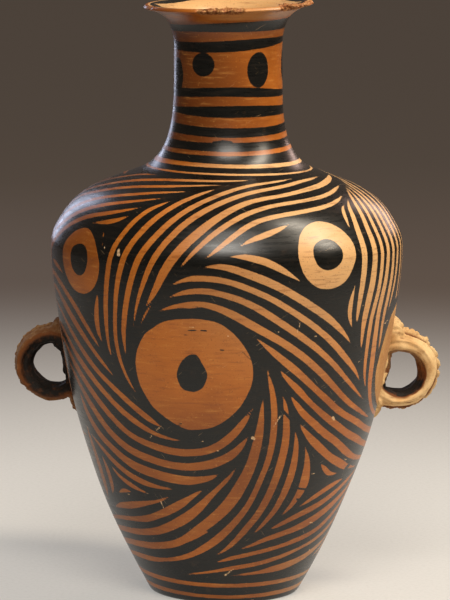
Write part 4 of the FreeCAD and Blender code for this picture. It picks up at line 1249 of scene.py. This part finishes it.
def cut_eye(points, side, half, outer, waist):
    """Cuts a strap's eye closer at its top: its edge lies 14 to 18 mm from the loop's middle."""
    turn, ring = turn_and_ring(points)
    across = np.abs(points[:, 1]) / MM / half
    edge = 15.3 + 1.95 * np.cos(turn) - 0.8 * np.sin(turn) + 0.7 * np.cos(2 * turn) + EYE_GROWTHS[side]
    eye = waist + (edge - waist) * across**2
    share = ((outer - ring) / (outer - waist)).clip(0, 1.2)
    scale_rings(points, (ring + share * (eye - waist)) / ring)


def wipe_by_hand(strap, side):
    """Smooths a strap, and leaves it a little uneven and grooved."""
    apply_modifier(strap, "SMOOTH", factor=0.6, iterations=8)
    points = points_of(strap)
    normals = np.empty(len(points) * 3)
    strap.data.vertices.foreach_get("normal", normals)
    strays = 0.5 * waves(points, 5 + side, 22) + 0.2 * waves(points, 9 + side, 7)
    strays = strays + finger_grooves(*around_loop(strap, side), side)
    move_points(strap, points + normals.reshape(-1, 3) * strays[:, None] * MM)


def strap_dirt_and_shade(strap, side, half):
    """Dirt and painted shade lie on the inner face, most of it low down, and in the grooves. The left lug
    lay near the fire and sits on the side away from the light: it is brown outside and black towards its
    eye, from smoke and painted shade."""
    turn, ring, across = around_loop(strap, side)
    # Painted shade with the dirt: darker on the inner face, low down, in the finger grooves and over the
    # left lug
    inner_face = rising(-ring, -19.5, -15.5) * rising(-np.abs(across), -half + 0.6, -half + 3.5)
    low = 0.35 + 0.65 * rising(-np.sin(turn), -0.6, 0.7)
    hollows = 0.5 * rising(-finger_grooves(turn, ring, across, side), 0.25, 0.9)
    smoked_and_shaded = 0.4 + 0.55 * rising(-ring, -22.5, -16.5) if side < 0 else 0.0
    return np.maximum(np.maximum(inner_face * low, hollows), smoked_and_shaded)


class JAR_OT_lug_straps(bpy.types.Operator):
    """Spin the two strap loops, press their roots onto the wall and wipe them smooth"""

    bl_idname = "jar.lug_straps"
    bl_label = "Lug Straps"

    def execute(self, context):
        sizes = context.scene.jar_sizes
        half = sizes.strap_width / MM / 2
        outer = sizes.lug_radius / MM + STRAP_SWELL
        waist = outer - STRAP_THICKNESS
        material = lug_clay()
        for side, word in SIDES:
            strap = strap_loop("%s_lug_strap_pinched" % word, half, outer, waist)
            points = points_of(strap)
            cut_eye(points, side, half, outer, waist)
            set_in_place(strap, points, side)
            roots = [pressed_root(side, *root) for root in ROOTS[side]]
            activate(strap)
            for root in roots:
                root.select_set(True)
            bpy.ops.object.join()
            apply_modifier(strap, "REMESH", mode="VOXEL", voxel_size=STRAP_GRAIN)
            wipe_by_hand(strap, side)
            cut_by_wall(strap, STRAP_PRESSED_IN)
            set_field(strap, "dirt_and_shade", strap_dirt_and_shade(strap, side, half))
            finish_piece(strap, material, ["%s_lug_strap" % word])
        return {"FINISHED"}


def notch(points, side, base, top):
    """Presses notches into a ridge: no two are quite alike, and its crest crumbled a little between them."""
    turn, ring = turn_and_ring(points)
    slant = points[:, 1] / MM * 0.045
    uneven = 0.09 * np.sin(3 * turn + side) + 0.06 * np.sin(5 * turn)
    press = (np.cos(RIDGE_PRESSES * (turn + slant) + 6 * uneven) * 0.5 + 0.5) ** 2
    deep = 3.5 + 1.2 * np.sin(7 * turn + 2 * side) + 0.7 * np.sin(4 * turn)
    high = ((ring - base) / (top - base)).clip(0, 1)
    crumbled = 0.5 * waves(points, 71 + side, 8) + 0.45 * waves(points, 75 + side, 2.6)
    scale_rings(points, 1 - high * (press * deep - crumbled) / np.maximum(ring, 1))
    points[:, 1] += 0.6 * MM * waves(points, 83 + side, 14)


class JAR_OT_lug_ridges(bpy.types.Operator):
    """Lay a notched ridge of clay round each strap"""

    bl_idname = "jar.lug_ridges"
    bl_label = "Lug Ridges"

    def execute(self, context):
        middle = context.scene.jar_sizes.lug_radius / MM
        material = bpy.data.materials["bare_buff_earthenware"]
        for side, word in SIDES:
            # A half round on a shallow bed
            base, top = middle + RIDGE_BASE, middle + RIDGE_TOPS[side]
            section = []
            for t in np.linspace(0, 2 * math.pi, 24, endpoint=False):
                rise = math.cos(t)
                r = base + ((top - base) * rise**0.6 if rise > 0 else rise * RIDGE_BED)
                section.append((r, RIDGE_HALF * math.sin(t), 0))
            ridge = spun("%s_lug_ridge_notched" % word, section, 360, (0, 1, 0))
            points = points_of(ridge)
            notch(points, side, base, top)
            set_in_place(ridge, points, side)
            cut_by_wall(ridge, RIDGE_PRESSED_IN)
            # Dirt and painted shade lie low in the notches, and the left ridge is browned all over by smoke
            # and by painted shade
            ring = around_loop(ridge, side)[1]
            hollows = rising(-ring, -(top - 1.2), -(base + 0.8)) * 0.55
            set_field(ridge, "dirt_and_shade", np.maximum(hollows, 0.36 if side < 0 else 0.0))
            finish_piece(ridge, material, ["%s_lug_ridge" % word])
        return {"FINISHED"}


def looked_at(tree):
    """1 for what is seen, straight or in or through something shiny, and 0 for what lights the jar."""
    ray = add_node(tree, "ShaderNodeLightPath").outputs
    kinds = ("Is Camera Ray", "Is Glossy Ray", "Is Transmission Ray")
    return added_up(tree, [(ray[kind], 1.0) for kind in kinds])


def lay_floor(colours, glow):
    """A matt floor that is pale near the jar and dark further off. Some of its own colour is seen on it
    whatever the light, so that it stays even."""
    bpy.ops.mesh.primitive_plane_add(size=FLOOR_SIDE, location=(0, 0, 0))
    floor = bpy.context.object
    floor.name = "studio_floor"
    material, tree, shader, where = new_material("matt_pale_floor")
    grain = mottle(tree, where, 2.5 * MM)
    away = add_node(tree, "ShaderNodeVectorMath", {0: where}, operation="LENGTH").outputs["Value"]
    shades = (
        (grain, 0.4, 0.7, 0.25, linear("#c9c6bf")),
        (away, *FLOOR_DARKENS, 1.0, rgba(colours.backdrop)),
    )
    colour = layered(tree, rgba(colours.floor), shades)
    tree.links.new(colour, shader.inputs["Base Color"])
    shader.inputs["Roughness"].default_value = 0.8
    own = add_node(tree, "ShaderNodeEmission", {"Color": colour})
    share = add_node(tree, "ShaderNodeMath", {0: looked_at(tree), 1: glow}, operation="MULTIPLY").outputs[0]
    both = add_node(tree, "ShaderNodeMixShader", {0: share, 1: shader.outputs[0], 2: own.outputs[0]})
    add_node(tree, "ShaderNodeOutputMaterial", {"Surface": both.outputs[0]})
    floor.data.materials.append(material)


def light_room(scene, colours, strength):
    """An even light from all round, in front of a backdrop of the floor's far colour."""
    world = bpy.data.worlds.new("soft_room")
    scene.world = world
    world.use_nodes = True
    tree = world.node_tree
    tree.nodes.clear()
    room = add_node(tree, "ShaderNodeBackground", {"Color": linear("#e9e6e1"), "Strength": strength})
    seen = add_node(tree, "ShaderNodeBackground", {"Color": rgba(colours.backdrop), "Strength": 1.0})
    inputs = {0: looked_at(tree), 1: room.outputs[0], 2: seen.outputs[0]}
    both = add_node(tree, "ShaderNodeMixShader", inputs)
    add_node(tree, "ShaderNodeOutputWorld", {"Surface": both.outputs[0]})


def hang_lamps(scene, studio):
    """A tall key light from the right, a wide one in front, and two rims from behind."""
    middle = (0, 0, 0.25)
    # Name, place and aim in metres, width, height, power and colour
    lamps = (
        ("key_softbox", (0.88, -0.2, 1.22), (0.03, 0, 0.24), 0.3, 0.9, studio.key, "#fff1dc"),
        ("front_softbox", (0.05, -1.3, 1.6), (0, 0, 0.18), 0.9, 0.7, studio.fill, "#fff8ee"),
        ("left_rear_softbox", (-0.8, 1.6, 0.6), middle, 0.3, 1.0, studio.rim, "#dbe3ff"),
        ("right_rear_softbox", (0.9, 1.5, 0.8), middle, 0.3, 0.8, studio.rim * 0.8, "#ffd9cc"),
    )
    for name, place, aim, wide, tall, power, colour in lamps:
        data = bpy.data.lights.new(name, "AREA")
        data.shape = "RECTANGLE"
        data.size, data.size_y = wide, tall
        data.energy = power
        data.color = linear(colour)[:3]
        lamp = bpy.data.objects.new(name, data)
        scene.collection.objects.link(lamp)
        lamp.location = place
        lamp.rotation_euler = (Vector(aim) - lamp.location).to_track_quat("-Z", "Y").to_euler()


def set_camera(scene):
    """The photograph's view: from 2.5 m in front, 9 degrees down, with a long lens."""
    data = bpy.data.cameras.new("view")
    data.sensor_fit = "VERTICAL"
    data.sensor_height = SENSOR
    data.lens = SENSOR * FOCAL_LENGTH / PHOTO_HEIGHT
    data.shift_x = -PHOTO_SHIFT / PHOTO_HEIGHT
    data.clip_end = 50
    camera = bpy.data.objects.new("view", data)
    scene.collection.objects.link(camera)
    camera.location = CAMERA_PLACE
    turn = Matrix.Rotation(math.pi / 2 - CAMERA_DIP, 4, "X") @ Matrix.Rotation(CAMERA_ROLL, 4, "Z")
    camera.rotation_euler = turn.to_euler()
    scene.camera = camera


class JAR_OT_stage(bpy.types.Operator):
    """Set the jar on a pale floor in soft studio light, seen as in the photograph"""

    bl_idname = "jar.stage"
    bl_label = "Stage and View"

    def execute(self, context):
        scene = context.scene
        start_clean()
        lay_floor(scene.jar_colours, scene.jar_studio.floor_glow)
        light_room(scene, scene.jar_colours, scene.jar_studio.world)
        hang_lamps(scene, scene.jar_studio)
        set_camera(scene)
        scene.view_settings.view_transform = "Standard"
        return {"FINISHED"}


class JAR_PT_panel(bpy.types.Panel):
    """The jar's sizes, colours and pieces"""

    bl_label = "Painted Jar"
    bl_idname = "JAR_PT_panel"
    bl_space_type = "VIEW_3D"
    bl_region_type = "UI"
    bl_category = "Jar"

    def draw(self, context):
        for group in (context.scene.jar_sizes, context.scene.jar_colours, context.scene.jar_studio):
            box = self.layout.box()
            for name in group.__annotations__:
                box.prop(group, name)
        for operator in OPERATORS:
            self.layout.operator(operator.bl_idname)


GROUPS = (("jar_sizes", JarSizes), ("jar_colours", JarColours), ("jar_studio", JarStudio))
OPERATORS = (JAR_OT_wall, JAR_OT_lug_straps, JAR_OT_lug_ridges, JAR_OT_stage)


def register():
    for name, group in GROUPS:
        bpy.utils.register_class(group)
        setattr(bpy.types.Scene, name, bpy.props.PointerProperty(type=group))
    for operator in OPERATORS:
        bpy.utils.register_class(operator)
    bpy.utils.register_class(JAR_PT_panel)


def unregister():
    bpy.utils.unregister_class(JAR_PT_panel)
    for operator in reversed(OPERATORS):
        bpy.utils.unregister_class(operator)
    for name, group in reversed(GROUPS):
        delattr(bpy.types.Scene, name)
        bpy.utils.unregister_class(group)


def main():
    register()
    bpy.ops.jar.wall()
    bpy.ops.jar.lug_straps()
    bpy.ops.jar.lug_ridges()
    bpy.ops.jar.stage()


if __name__ == "__main__":
    main()
